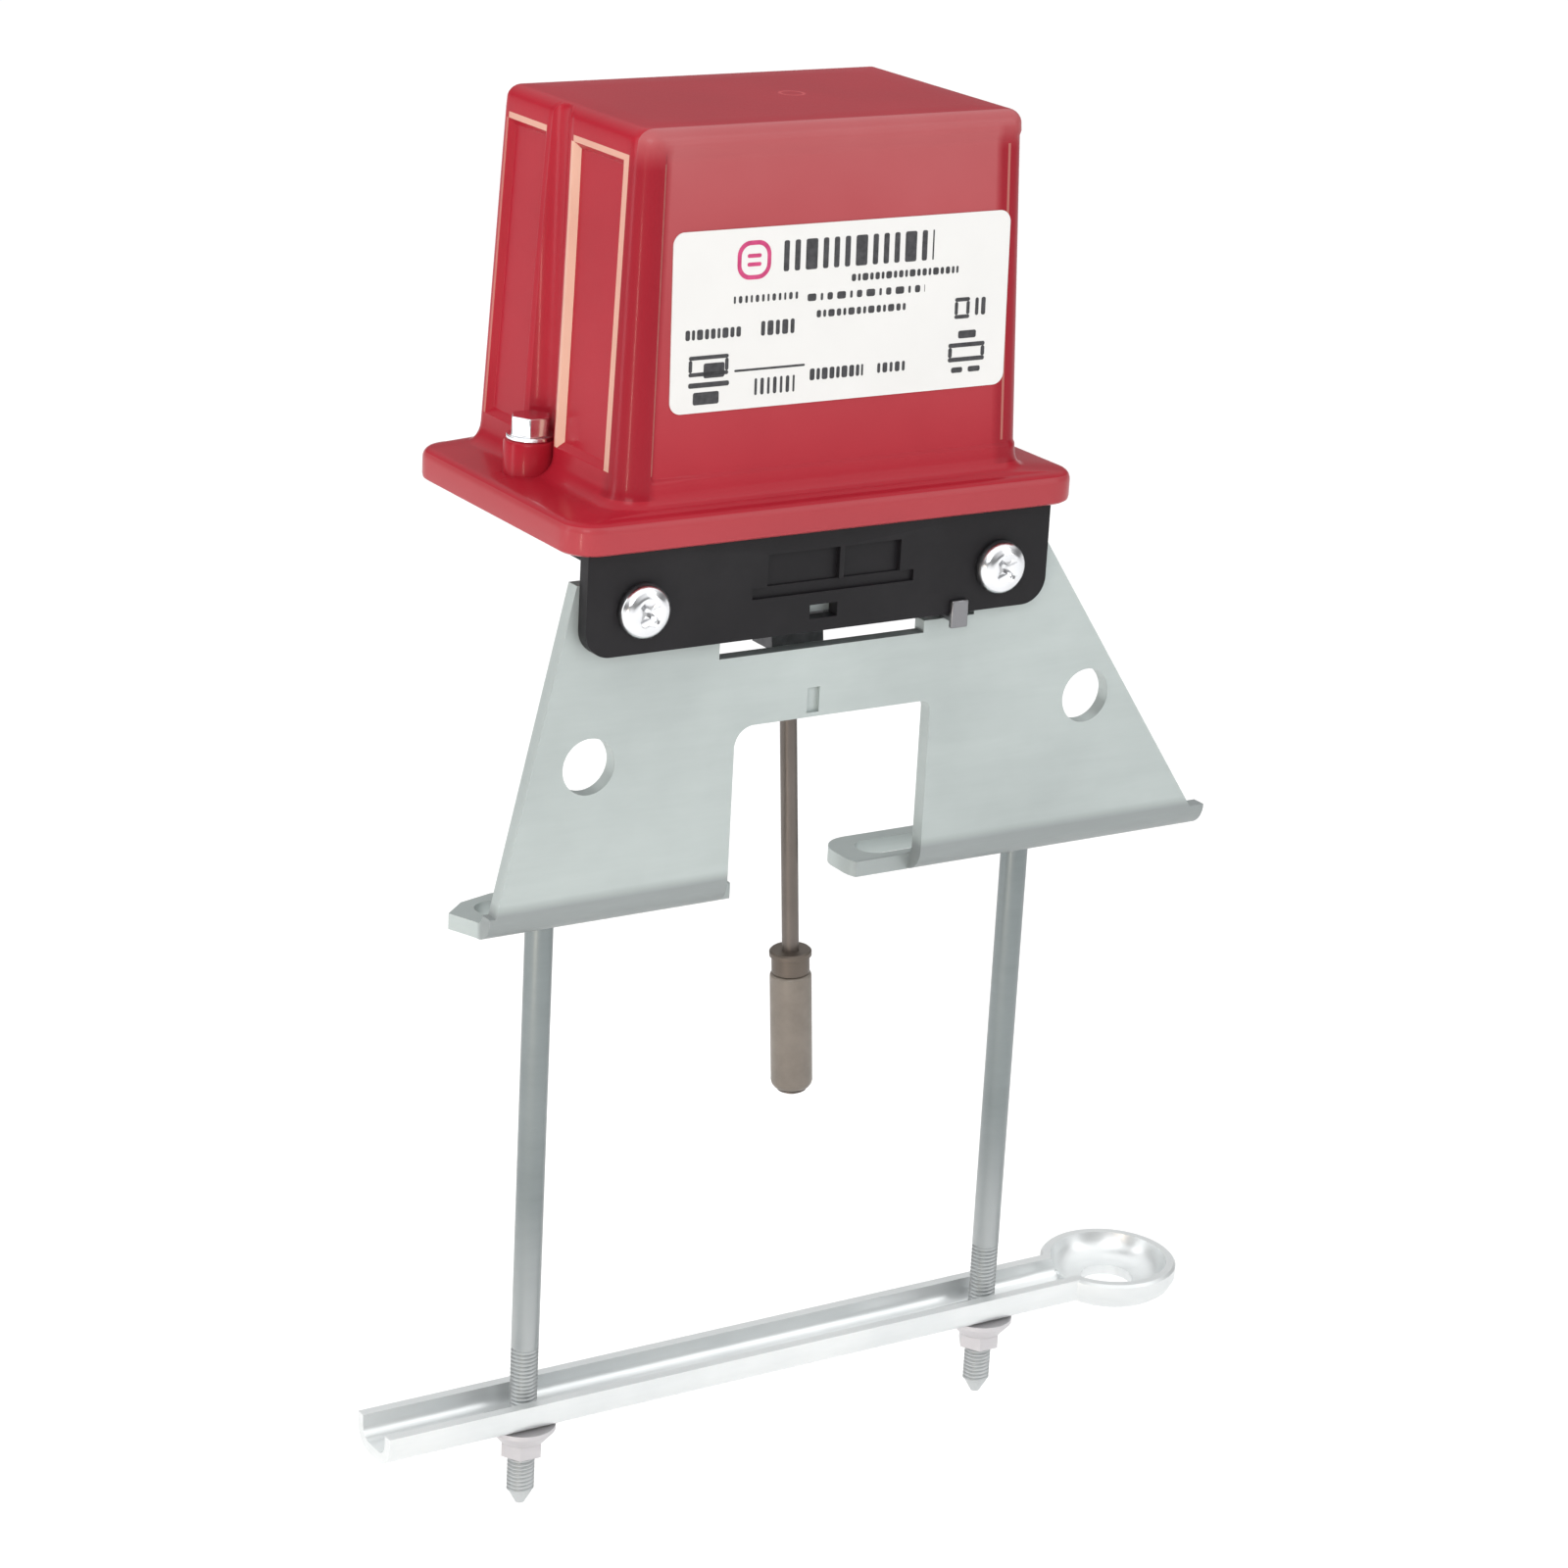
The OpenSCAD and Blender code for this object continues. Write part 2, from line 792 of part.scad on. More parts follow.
module switch_bracket() {
    color([0.74, 0.77, 0.77])
        difference() {
            union() {
                translate([sw_x - 1.5, upright_y, floor_top])
                    cube([18.5, upright_t, sw_z + sw_h - floor_top]);
                translate([sw_x - 1.5, upright_y, floor_top])
                    cube([13, 8.6, upright_t]);
            }
            for (z = sw_hole_z)
                translate([sw_hole_x, 0, z])
                    rod_y(upright_y - 1, upright_y + upright_t + 1, sw_screw_r + 0.1);
            for (x = [6.5, 14.5])
                translate([x, upright_y + 5.4, floor_top - 1])
                    cylinder(r = 1.7, h = upright_t + 2);
        }
}

module switch_screws() {
    color([0.84, 0.85, 0.86])
        for (z = sw_hole_z)
            translate([sw_hole_x, 0, z])
                difference() {
                    union() {
                        rod_y(sw_front_y, upright_y + upright_t + 3.4, sw_screw_r);
                        rod_y(sw_front_y - 2, sw_front_y, 2.8);
                    }
                    translate([-3, sw_front_y - 3, -0.4])
                        cube([6, 1.8, 0.8]);
                }
}

module switch_nuts() {
    color([0.72, 0.74, 0.74])
        for (z = sw_hole_z)
            translate([sw_hole_x, upright_y + upright_t, z])
                rotate([-90, 0, 0])
                    difference() {
                        hex(5.5, 2.4);
                        translate([0, 0, -1])
                            cylinder(r = sw_screw_r + 0.02, h = 5);
                    }
}

module switch_terminals() {
    color([0.8, 0.65, 0.3])
        for (y = [sw_front_y, sw_rear_y], z = blade_z)
            translate([sw_x + sw_w, y + sw_t / 2, z])
                difference() {
                    translate([0, -2.4, -0.4])
                        cube([6.4, 4.8, 0.8]);
                    translate([4, 0, -1])
                        cylinder(r = 0.9, h = 2);
                }
}

module bracket_screws() {
    color([0.84, 0.85, 0.86])
        for (x = [6.5, 14.5])
            translate([x, upright_y + 5.4, floor_top + upright_t]) {
                cylinder(r = 2.7, h = 1.8);
                translate([0, 0, -upright_t - floor_t + 0.3])
                    cylinder(r = 1.5, h = upright_t + floor_t);
            }
}

// ---------- wiring terminals ----------

module terminal_block() {
    color([0.22, 0.22, 0.22])
        difference() {
            translate([-38, -7.5, floor_top])
                cube([26, 13, 11]);
            for (step = [0:2])
                translate([-37 + step * 8.4, -8.5, floor_top + 7])
                    cube([7.2, 15, 5]);
            for (step = [0:2], y = [-4.3, 2.3])
                translate([-33.4 + step * 8.4, y, floor_top + 2])
                    cylinder(r = 1.5 + 0.02, h = 10);
        }
}

module terminal_screws() {
    color([0.8, 0.65, 0.3])
        for (step = [0:2], y = [-4.3, 2.3])
            translate([-33.4 + step * 8.4, y, floor_top + 7])
                difference() {
                    union() {
                        cylinder(r = 2.6, h = 1.9);
                        translate([0, 0, -4])
                            cylinder(r = 1.5, h = 5);
                    }
                    translate([-3, -0.4, 1.1])
                        cube([6, 0.8, 2]);
                }
}

module ground_screw() {
    color([0.1, 0.5, 0.25])
        translate([ground_x, ground_y, floor_top + 2])
            difference() {
                union() {
                    cylinder(r = 4, h = 0.8);
                    hex(6.5, 3.4);
                    translate([0, 0, -3.4])
                        cylinder(r = 2, h = 4);
                }
                translate([-4, -0.5, 2.2])
                    cube([8, 1, 2]);
            }
}

// ---------- yoke clamp ----------

module clamp_bolt(x) {
    color([0.69, 0.72, 0.72])
        translate([x, 0, 0]) {
            // domed head, square neck in the foot slot, shank with a pointed tip
            translate([0, 0, sheet_t])
                rotate_extrude()
                    polygon([[0, 0], [bolt_head_r, 0], [bolt_head_r - 0.2, 0.9], [bolt_head_r - 1, 1.8],
                        [bolt_head_r - 2.4, 2.5], [0, 2.7]]);
            translate([-neck_w / 2, -neck_w / 2, 0.4])
                cube([neck_w, neck_w, sheet_t - 0.4]);
            translate([0, 0, -bolt_reach + 2.6])
                cylinder(r = bolt_d / 2, h = bolt_reach);
            translate([0, 0, -bolt_reach])
                cylinder(r1 = 0.9, r2 = bolt_d / 2, h = 2.6);
        }
}

module bolt_left() {
    clamp_bolt(-bolt_left_x);
}

module bolt_right() {
    clamp_bolt(bolt_right_x);
}

module clamp_bar() {
    bar_left = -bolt_left_x - 31;
    bar_h = 6.4;
    bar_t = 2;
    bar_r = 4.5;
    ring_x = bolt_right_x + 31;
    ring_r = ring_d / 2;
    bar_z = -bar_depth - bar_h;
    bar_slot = bolt_d + 2 * slip_gap;
    color([0.77, 0.79, 0.79])
        difference() {
            union() {
                // upturned trough, round along its two lower edges
                translate([bar_left, 0, bar_z])
                    rotate([90, 0, 90])
                        linear_extrude(ring_x - ring_r + 3 - bar_left)
                            intersection() {
                                round_rect(-bar_w / 2, bar_w / 2, 0, 3 * bar_h, bar_r);
                                translate([-bar_w / 2, 0])
                                    square([bar_w, bar_h]);
                            }
                // cup at the right end
                translate([ring_x, 0, bar_z])
                    rotate_extrude()
                        polygon([[0, 0], [ring_r - 4.4, 0], [ring_r - 2.4, 0.6], [ring_r - 0.9, 1.8],
                            [ring_r, 3.6], [ring_r, bar_h - 0.5], [ring_r - 0.5, bar_h], [0, bar_h]]);
            }
            // inside of the trough and of the cup
            translate([bar_left - 1, 0, bar_z])
                rotate([90, 0, 90])
                    linear_extrude(ring_x - ring_r + 5 - bar_left)
                        round_rect(-bar_w / 2 + bar_t, bar_w / 2 - bar_t, bar_t, 4 * bar_h,
                            bar_r - bar_t);
            translate([ring_x, 0, bar_z])
                rotate_extrude()
                    polygon([[0, bar_t], [ring_r - 6, bar_t], [ring_r - 4.2, 2.7], [ring_r - 3, 3.9],
                        [ring_r - 2.2, bar_h - 0.6], [ring_r - 1.8, bar_h + 1], [0, bar_h + 1]]);
            translate([ring_x, 0, bar_z - 1])
                cylinder(r = 5.2, h = far);
            // slots for the two bolts
            translate([0, 0, bar_z - 1])
                linear_extrude(bar_t + 2) {
                    slot_2d(-bolt_left_x - 9, -bolt_left_x + bar_slot / 2, bar_slot);
                    slot_2d(bolt_right_x - 24, bolt_right_x + bar_slot / 2, bar_slot);
                }
        }
}

module flange_nut(x) {
    top = -bar_depth - 6.4;
    color([0.72, 0.74, 0.74])
        translate([x, 0, top])
            mirror([0, 0, 1])
                difference() {
                    union() {
                        cylinder(r = 6.3, h = 0.9);
                        translate([0, 0, 0.9])
                            cylinder(r1 = 6.3, r2 = 4.3, h = 2.4);
                        hex(7.4, 6.2);
                    }
                    translate([0, 0, -1])
                        cylinder(r = bolt_d / 2 + run_gap, h = 10);
                }
}

module nut_left() {
    flange_nut(-bolt_left_x);
}

module nut_right() {
    flange_nut(bolt_right_x);
}

// ---------- drawing ----------

bracket();
base();
knockout_left();
knockout_right();
base_screw_left();
base_screw_right();
base_nuts();
anchor_clip();
cover();
cover_label();
cover_gasket();
cover_screw_left();
cover_screw_right();
pivot_pin();
pivot_clip();
return_spring();
trip_lever();
trip_cam();
locking_screw();
trip_rod();
sleeve_collar();
rod_sleeve();
switch_front();
switch_rear();
plunger_front();
plunger_rear();
switch_spacer();
switch_bracket();
switch_screws();
switch_nuts();
switch_terminals();
bracket_screws();
terminal_block();
terminal_screws();
ground_screw();
bolt_left();
bolt_right();
clamp_bar();
nut_left();
nut_right();
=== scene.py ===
import math

import bmesh
import bpy
from mathutils import Matrix, Vector


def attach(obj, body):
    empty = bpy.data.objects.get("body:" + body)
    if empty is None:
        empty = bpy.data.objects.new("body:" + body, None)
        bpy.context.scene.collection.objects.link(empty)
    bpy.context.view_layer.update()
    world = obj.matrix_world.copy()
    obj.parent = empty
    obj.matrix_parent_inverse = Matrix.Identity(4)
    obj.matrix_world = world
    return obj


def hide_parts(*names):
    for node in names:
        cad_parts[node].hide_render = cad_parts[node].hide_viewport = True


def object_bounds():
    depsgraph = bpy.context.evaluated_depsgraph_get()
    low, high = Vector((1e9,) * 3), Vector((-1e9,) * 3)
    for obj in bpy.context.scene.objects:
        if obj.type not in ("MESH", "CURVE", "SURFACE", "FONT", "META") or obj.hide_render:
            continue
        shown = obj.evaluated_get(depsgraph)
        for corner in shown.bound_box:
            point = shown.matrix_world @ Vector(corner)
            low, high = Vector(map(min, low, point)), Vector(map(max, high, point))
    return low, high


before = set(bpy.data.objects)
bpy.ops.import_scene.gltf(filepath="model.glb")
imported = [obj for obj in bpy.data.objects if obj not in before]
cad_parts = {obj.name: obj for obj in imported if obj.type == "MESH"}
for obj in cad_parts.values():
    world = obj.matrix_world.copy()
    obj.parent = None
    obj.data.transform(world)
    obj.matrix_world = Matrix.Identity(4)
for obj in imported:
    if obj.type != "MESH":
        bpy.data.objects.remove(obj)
cad_box = [list(corner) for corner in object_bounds()]

# ---------------------------------------------------------------------------
# The room: a long lens stands in front of the label side, to the left and
# above, tipped a little. Four soft boxes light the switch, and a plain pale
# floor lies a hand's breadth below its clamp bolts and carries on out of sight.
# ---------------------------------------------------------------------------

MM = 0.001
CAMERA_PLACE = (-0.3889, -0.6111, 0.2666)
CAMERA_TURN, CAMERA_DIP, CAMERA_ROLL = 32.6, 18.9, -3.09
FLOOR_DROP, FLOOR_REACH = 0.06, 8

scene = bpy.context.scene
scene.view_settings.view_transform = "Standard"

turn, dip, roll = (math.radians(angle) for angle in (CAMERA_TURN, CAMERA_DIP, CAMERA_ROLL))
ahead = Vector((math.sin(turn) * math.cos(dip), math.cos(turn) * math.cos(dip), -math.sin(dip)))
level = ahead.cross(Vector((0, 0, 1))).normalized()
plumb = ahead.cross(level)
right = math.cos(roll) * level + math.sin(roll) * plumb
below = math.cos(roll) * plumb - math.sin(roll) * level
camera = bpy.data.objects.new("camera", bpy.data.cameras.new("camera"))
camera.data.lens, camera.data.sensor_width = 95.5, 36
camera.data.clip_start, camera.data.clip_end = 0.05, 20
facing = Matrix((right, -below, -ahead)).transposed().to_4x4()
camera.matrix_world = Matrix.Translation(CAMERA_PLACE) @ facing
scene.collection.objects.link(camera)
scene.camera = camera


def softbox(name, place, aim, width, height, watts, tint=(1, 1, 1)):
    lamp = bpy.data.lights.new(name, "AREA")
    lamp.shape, lamp.size, lamp.size_y, lamp.energy = "RECTANGLE", width, height, watts
    lamp.color = tint
    holder = bpy.data.objects.new(name, lamp)
    holder.location = place
    holder.rotation_mode = "QUATERNION"
    holder.rotation_quaternion = (Vector(aim) - Vector(place)).to_track_quat("-Z", "Y")
    scene.collection.objects.link(holder)


softbox("key", (-1.2, -1.4, 1.1), (0, 0, 0.02), 0.9, 0.9, 12.5)
softbox("strip_left", (-1.3, 0.35, 0.35), (0, 0, 0.08), 0.3, 1.3, 4.5)
softbox("fill_right", (1.0, -1.3, 0.7), (0, 0, 0), 0.6, 1.2, 5)
softbox("edge_glow", (-0.47, -0.31, -0.04), (-0.04, -0.01, 0.11), 0.03, 0.22, 0.55, (1.0, 0.82, 0.66))


class Field:
    """One output of a recipe's nodes; arithmetic on Fields adds the Math nodes that do it."""

    def __init__(self, recipe, socket):
        self.recipe, self.socket = recipe, socket

    def maths(self, operation, *terms):
        return self.recipe.node("ShaderNodeMath", {"operation": operation}, dict(enumerate(terms)))

    def __add__(self, other):
        return self.maths("ADD", self, other)

    __radd__ = __add__

    def __mul__(self, other):
        return self.maths("MULTIPLY", self, other)

    __rmul__ = __mul__

    def __sub__(self, other):
        return self.maths("SUBTRACT", self, other)

    def __rsub__(self, other):
        return self.maths("SUBTRACT", other, self)

    def __gt__(self, other):
        return self.maths("GREATER_THAN", self, other)

    def __lt__(self, other):
        return self.maths("LESS_THAN", self, other)

    def __abs__(self):
        return self.maths("ABSOLUTE", self)

    def ramp(self, low, high, start=0.0, end=1.0):
        sockets = dict(enumerate((self, low, high, start, end)))
        return self.recipe.node("ShaderNodeMapRange", {"clamp": True}, sockets)

    def limit(self):
        return self.recipe.node("ShaderNodeClamp", {}, {0: self, 1: 0.0, 2: 1.0})


class Recipe:
    """The nodes of one world or material."""

    def __init__(self, tree):
        self.tree = tree

    def feed(self, socket, value):
        if isinstance(value, Field):
            self.tree.links.new(value.socket, socket)
        else:
            socket.default_value = value

    def node(self, kind, settings, sockets=None, outlet=0):
        made = self.tree.nodes.new(kind)
        for key, value in settings.items():
            setattr(made, key, value)
        for key, value in (sockets or {}).items():
            self.feed(made.inputs[key], value)
        return Field(self, made.outputs[outlet])


# White up to eye level, dim just above it and bright overhead, so that the
# cover's top stays deep red over a floor that stays white.
world = bpy.data.worlds.new("studio")
scene.world = world
world.use_nodes = True
sky = Recipe(world.node_tree)
heading = sky.node("ShaderNodeTexCoord", {}, outlet="Generated")
height = sky.node("ShaderNodeSeparateXYZ", {}, {0: heading}, outlet=2)
glow = height.ramp(0.28, 0.72, 0.22, 1.38) + height.ramp(0.0, 0.08, 0.78, 0.0)
background = world.node_tree.nodes["Background"]
background.inputs["Color"].default_value = (1, 1, 1, 1)
sky.feed(background.inputs["Strength"], glow)


class Paint(Recipe):
    """A finish: one Principled shader whose varying sockets are fed with Fields."""

    def __init__(self, name, **constants):
        self.material = bpy.data.materials.new(name)
        self.material.use_nodes = True
        super().__init__(self.material.node_tree)
        self.tree.nodes.clear()
        self.shader = self.tree.nodes.new("ShaderNodeBsdfPrincipled")
        outlet = self.tree.nodes.new("ShaderNodeOutputMaterial")
        self.tree.links.new(self.shader.outputs[0], outlet.inputs[0])
        self.surface(**constants)

    def surface(self, **sockets):
        for key, value in sockets.items():
            self.feed(self.shader.inputs[key.replace("_", " ")], value)
        return self.material

    def place(self):
        return self.node("ShaderNodeTexCoord", {}, outlet="Object")

    def stretched(self, scale):
        return self.node("ShaderNodeVectorMath", {"operation": "MULTIPLY"}, {0: self.place(), 1: scale})

    def axis(self, which):
        return self.node("ShaderNodeSeparateXYZ", {}, {0: self.place()}, outlet="XYZ".index(which))

    def noise(self, scale, detail=4.0, rough=0.55, at=None):
        sockets = {"Vector": at or self.place(), "Scale": scale, "Detail": detail, "Roughness": rough}
        return self.node("ShaderNodeTexNoise", {}, sockets)

    def mix(self, share, one, two):
        one, two = [colour if isinstance(colour, Field) else (*colour, 1) for colour in (one, two)]
        return self.node("ShaderNodeMix", {"data_type": "RGBA"}, {0: share, 6: one, 7: two}, outlet=2)

    def bump(self, height, depth, strength=1.0):
        return self.node("ShaderNodeBump", {}, {"Strength": strength, "Distance": depth, "Height": height})


floor_mesh = bpy.data.meshes.new("floor")
floor_corners = [(x * FLOOR_REACH, y * FLOOR_REACH, 0) for x, y in ((-1, -1), (1, -1), (1, 1), (-1, 1))]
floor_mesh.from_pydata(floor_corners, [], [(0, 1, 2, 3)])
floor = bpy.data.objects.new("floor", floor_mesh)
floor.location.z = cad_box[0][2] - FLOOR_DROP
scene.collection.objects.link(floor)
sheet = Paint("floor_pale", Roughness=0.9)
sheet.surface(Base_Color=sheet.mix(sheet.noise(3.0), (0.93, 0.93, 0.93), (0.95, 0.95, 0.95)))
floor_mesh.materials.append(sheet.material)

# ---------------------------------------------------------------------------
# Bracket: 3 mm sheet steel, blanked and bent, with bright zinc plating that
# has clouded a little. Painted shade darkens the outside of each bend and the
# sheared top edge of the stem notch. Its feet stand on the valve's yoke.
# ---------------------------------------------------------------------------


def add_piece(name, mesh, body, material, stands_for=()):
    piece = bpy.data.objects.new(name, mesh)
    scene.collection.objects.link(piece)
    mesh.materials.append(material)
    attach(piece, body)
    if stands_for:
        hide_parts(*stands_for)
    return piece


def smooth(mesh, angle):
    for face in mesh.polygons:
        face.use_smooth = True
    mesh.set_sharp_from_angle(angle=math.radians(angle))


def ease(piece, width, segments=3, angle=35):
    bevel = piece.modifiers.new("eased", "BEVEL")
    bevel.width, bevel.segments, bevel.limit_method = width * MM, segments, "ANGLE"
    bevel.angle_limit = math.radians(angle)
    bevel.harden_normals = False
    bevel.use_clamp_overlap = True


def eased_copy(node, name, body, material, width, segments=2, whole=True):
    """A node's own shape with its flat faces made whole and its edges eased, as tumbling leaves them."""
    shape = bmesh.new()
    shape.from_mesh(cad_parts[node].data)
    bmesh.ops.remove_doubles(shape, verts=shape.verts, dist=0.004 * MM)
    if whole:
        flat = math.radians(0.6)
        bmesh.ops.dissolve_limit(shape, angle_limit=flat, verts=shape.verts, edges=shape.edges)
    mesh = bpy.data.meshes.new(name)
    shape.to_mesh(mesh)
    shape.free()
    mesh.materials.clear()
    smooth(mesh, 32)
    piece = add_piece(name, mesh, body, material, [node])
    if width:
        ease(piece, width, segments, 40)
    return piece


# the stem notch's top edge, in metres as the shader reads them
NOTCH_X, NOTCH_TOP, NOTCH_HALF = 0.002, 0.0476, 0.023
SHEET_FRONT, SHEET_BACK = -0.00985, -0.00715


def zinc(name, light, dark, metal, rough, bent=None, paler=None):
    plate = Paint(name)
    clouds = plate.noise(28.0)
    rolled = plate.noise(500.0, 3.0, at=plate.stretched((0.08, 1.0, 1.0)))
    scratch = plate.noise(260.0, 6.0, 0.7, at=plate.stretched((0.2, 1.0, 1.6)))
    shade = plate.mix((clouds * 0.8 + scratch * 0.2).ramp(0.3, 0.8), light, dark)
    # Painted shade: the outside of the foot bends and the top edge of the stem notch are painted in the
    # darker bent colour.
    if bent:
        across, back, up = (plate.axis(way) for way in "XYZ")
        bend = (1.0 - up.ramp(0.0054, 0.0074)) * (1.0 - back.ramp(-0.0066, -0.0050))
        in_sheet = (back > SHEET_FRONT) * (back < SHEET_BACK)
        notch_edge_shade = in_sheet * (abs(up - NOTCH_TOP) < 0.0006) * (abs(across - NOTCH_X) < NOTCH_HALF)
        bend_and_notch_shade = (bend + notch_edge_shade * 1.3).limit()
        shade = plate.mix(bend_and_notch_shade * (0.85 + scratch * 0.3), shade, bent)
    if paler:
        shade = plate.mix(plate.axis("Z").ramp(-0.055, -0.100), shade, paler)
    return plate.surface(
        Base_Color=shade,
        Metallic=metal + clouds * 0.1,
        Roughness=rough + scratch * 0.16 + clouds * 0.08,
        Normal=plate.bump(rolled * 0.5 + scratch.ramp(0.6, 0.75) * 0.3, 0.00003, 0.4),
    )


# bent= gives the colour of the painted shade on the bends and notch edge
bracket_zinc = zinc("bracket_zinc", (0.455, 0.505, 0.495), (0.36, 0.40, 0.395), 0.45, 0.36,
                    bent=(0.27, 0.295, 0.295))
eased_copy("bracket", "bracket_plate", "frame", bracket_zinc, 0.45, 3)

# ---------------------------------------------------------------------------
# Base: a die-cast tray in satin black enamel. Its apron hangs in front of the
# bracket, its floor carries the switches and the lever's two lugs, and two
# discs in the floor knock out for conduit. A foam ring seals its rim.
# ---------------------------------------------------------------------------

LUG_X, LUG_Y = 43.5, 18.5
POST_FOOT, POST_REACH = 69.3, 6

black = Paint("black_enamel", Specular_IOR_Level=0.22)
cast = black.noise(420.0, 5.0)
dust = black.noise(45.0)
black.surface(
    Base_Color=black.mix(dust.ramp(0.45, 0.8) * 0.6, (0.008, 0.0075, 0.009), (0.017, 0.016, 0.018)),
    Roughness=0.42 + cast * 0.16,
    Normal=black.bump(cast, 0.00010, 0.45),
)
tray = eased_copy("base", "base_tray", "frame", black.material, 0.5)
# the feet of the two screw posts end behind the cover's lip
for corner in tray.data.vertices:
    off_post = math.hypot(abs(corner.co.x) - LUG_X * MM, corner.co.y - LUG_Y * MM)
    if off_post < POST_REACH * MM and corner.co.z < (POST_FOOT - 0.9) * MM:
        corner.co.z = POST_FOOT * MM
for side in ("left", "right"):
    eased_copy(f"knockout_{side}", f"knockout_disc_{side}", "frame", black.material, 0.2)

foam = Paint("gasket_foam", Roughness=0.95)
cells = foam.node("ShaderNodeTexVoronoi", {}, {"Vector": foam.place(), "Scale": 1400.0})
foam.surface(
    Base_Color=foam.mix(cells.ramp(0.0, 0.7), (0.012, 0.012, 0.012), (0.03, 0.03, 0.03)),
    Normal=foam.bump(cells, 0.0002, 0.6),
)
eased_copy("cover_gasket", "gasket_ring", "frame", foam.material, 0.25)

# ---------------------------------------------------------------------------
# Base fixings: two bright nickel-plated pan heads with cross recesses pass
# through the apron into zinc-plated nuts behind the bracket. A small bent
# clip of plain steel hooks over the apron's lower edge.
# ---------------------------------------------------------------------------


def steel(name, colour, rough, metal=0.95):
    bare = Paint(name)
    drawn = bare.noise(900.0, 4.0, 0.6, at=bare.stretched((1.0, 1.0, 0.15)))
    tarnish = bare.noise(90.0)
    dulled = tuple(channel * 0.7 for channel in colour)
    return bare.surface(
        Base_Color=bare.mix(tarnish.ramp(0.4, 0.8) * 0.7, colour, dulled),
        Metallic=metal,
        Roughness=rough + drawn * 0.12 + tarnish * 0.08,
        Normal=bare.bump(drawn, 0.00003, 0.4),
    )


nickel = steel("bright_nickel", (0.80, 0.81, 0.83), 0.10, 1.0)
clip_steel = steel("clip_steel", (0.22, 0.22, 0.23), 0.2)
for side in ("left", "right"):
    node = f"base_screw_{side}"
    eased_copy(node, f"{node}_pan", "frame", nickel, 0, whole=False)
eased_copy("base_nuts", "base_nut_pair", "frame", bracket_zinc, 0.25)
eased_copy("anchor_clip", "anchor_clip_bent", "frame", clip_steel, 0.25)

# ---------------------------------------------------------------------------
# Lever bearing: a steel pin through the base's two lugs, kept by a spring
# ring, with a coiled return spring round it.
# ---------------------------------------------------------------------------

dark_steel = steel("dark_steel", (0.30, 0.30, 0.31), 0.28)
eased_copy("pivot_pin", "pivot_pin_turned", "frame", dark_steel, 0.15)
eased_copy("pivot_clip", "pivot_clip_ring", "frame", dark_steel, 0.1)
eased_copy("return_spring", "return_spring_coil", "frame", dark_steel, 0)

# ---------------------------------------------------------------------------
# Trip lever: a dark casting that hangs from the pivot pin, with a steel cam
# bar through its top that works both switches.
# ---------------------------------------------------------------------------

casting = Paint("lever_casting", Metallic=0.6)
skin = casting.noise(500.0, 5.0)
casting.surface(
    Base_Color=casting.mix(skin.ramp(0.35, 0.75), (0.055, 0.055, 0.058), (0.11, 0.11, 0.115)),
    Roughness=0.35 + skin * 0.2,
    Normal=casting.bump(skin, 0.00008, 0.5),
)
eased_copy("trip_lever", "trip_lever_casting", "lever", casting.material, 0.5)
eased_copy("trip_cam", "trip_cam_bar", "lever", dark_steel, 0.3)

# ---------------------------------------------------------------------------
# Locking screw: a long steel screw with a rolled thread and a six-sided head
# that lies along the lever window and grips the trip rod at its tip.
# ---------------------------------------------------------------------------

PIVOT_Z, ROD_LEAN, LOCK_DROP = 61, -4, -11

lean = Matrix.Translation((0, 0, PIVOT_Z * MM)) @ Matrix.Rotation(math.radians(ROD_LEAN), 4, "Y")
lock_line = lean @ Matrix.Translation((0, 0, LOCK_DROP * MM)) @ Matrix.Rotation(math.radians(90), 4, "Y")


def turned(profile, line, sides=40):
    """Round piece spun from (radius, length) points about a line's Z axis."""
    points, faces = [], []
    for radius, length in profile:
        for at in range(sides):
            angle = 2 * math.pi * at / sides
            spot = Vector((radius * math.cos(angle), radius * math.sin(angle), length))
            points.append(line @ (spot * MM))
    for row in range(len(profile) - 1):
        low, high = row * sides, (row + 1) * sides
        for at in range(sides):
            beside = (at + 1) % sides
            faces.append((low + at, low + beside, high + beside, high + at))
    faces.append(tuple(range(sides))[::-1])
    faces.append(tuple(range((len(profile) - 1) * sides, len(profile) * sides)))
    return points, faces


def thread(crest, root, pitch, start, end, line, steps=28):
    """Rolled thread: one root line and a flat crest wound round a line's Z axis."""
    points, faces = [], []
    count = int((end - start) / pitch * steps)
    for at in range(count):
        angle = 2 * math.pi * at / steps
        length = start + pitch * at / steps
        for radius, rise in ((root, 0), (crest, pitch * 0.4), (crest, pitch * 0.6)):
            spot = Vector((radius * math.cos(angle), radius * math.sin(angle), length + rise))
            points.append(line @ (spot * MM))
    for at in range(count - 1):
        here, beside = at * 3, at * 3 + 3
        faces.append((here, beside, beside + 1, here + 1))
        faces.append((here + 1, beside + 1, beside + 2, here + 2))
        if at + steps + 1 < count:
            faces.append((here + 2, beside + 2, (at + steps + 1) * 3, (at + steps) * 3))
    return points, faces


def joined(name, *shapes):
    points, faces = [], []
    for more_points, more_faces in shapes:
        faces += [tuple(len(points) + at for at in corners) for corners in more_faces]
        points += more_points
    mesh = bpy.data.meshes.new(name)
    mesh.from_pydata([tuple(point) for point in points], [], faces)
    return mesh


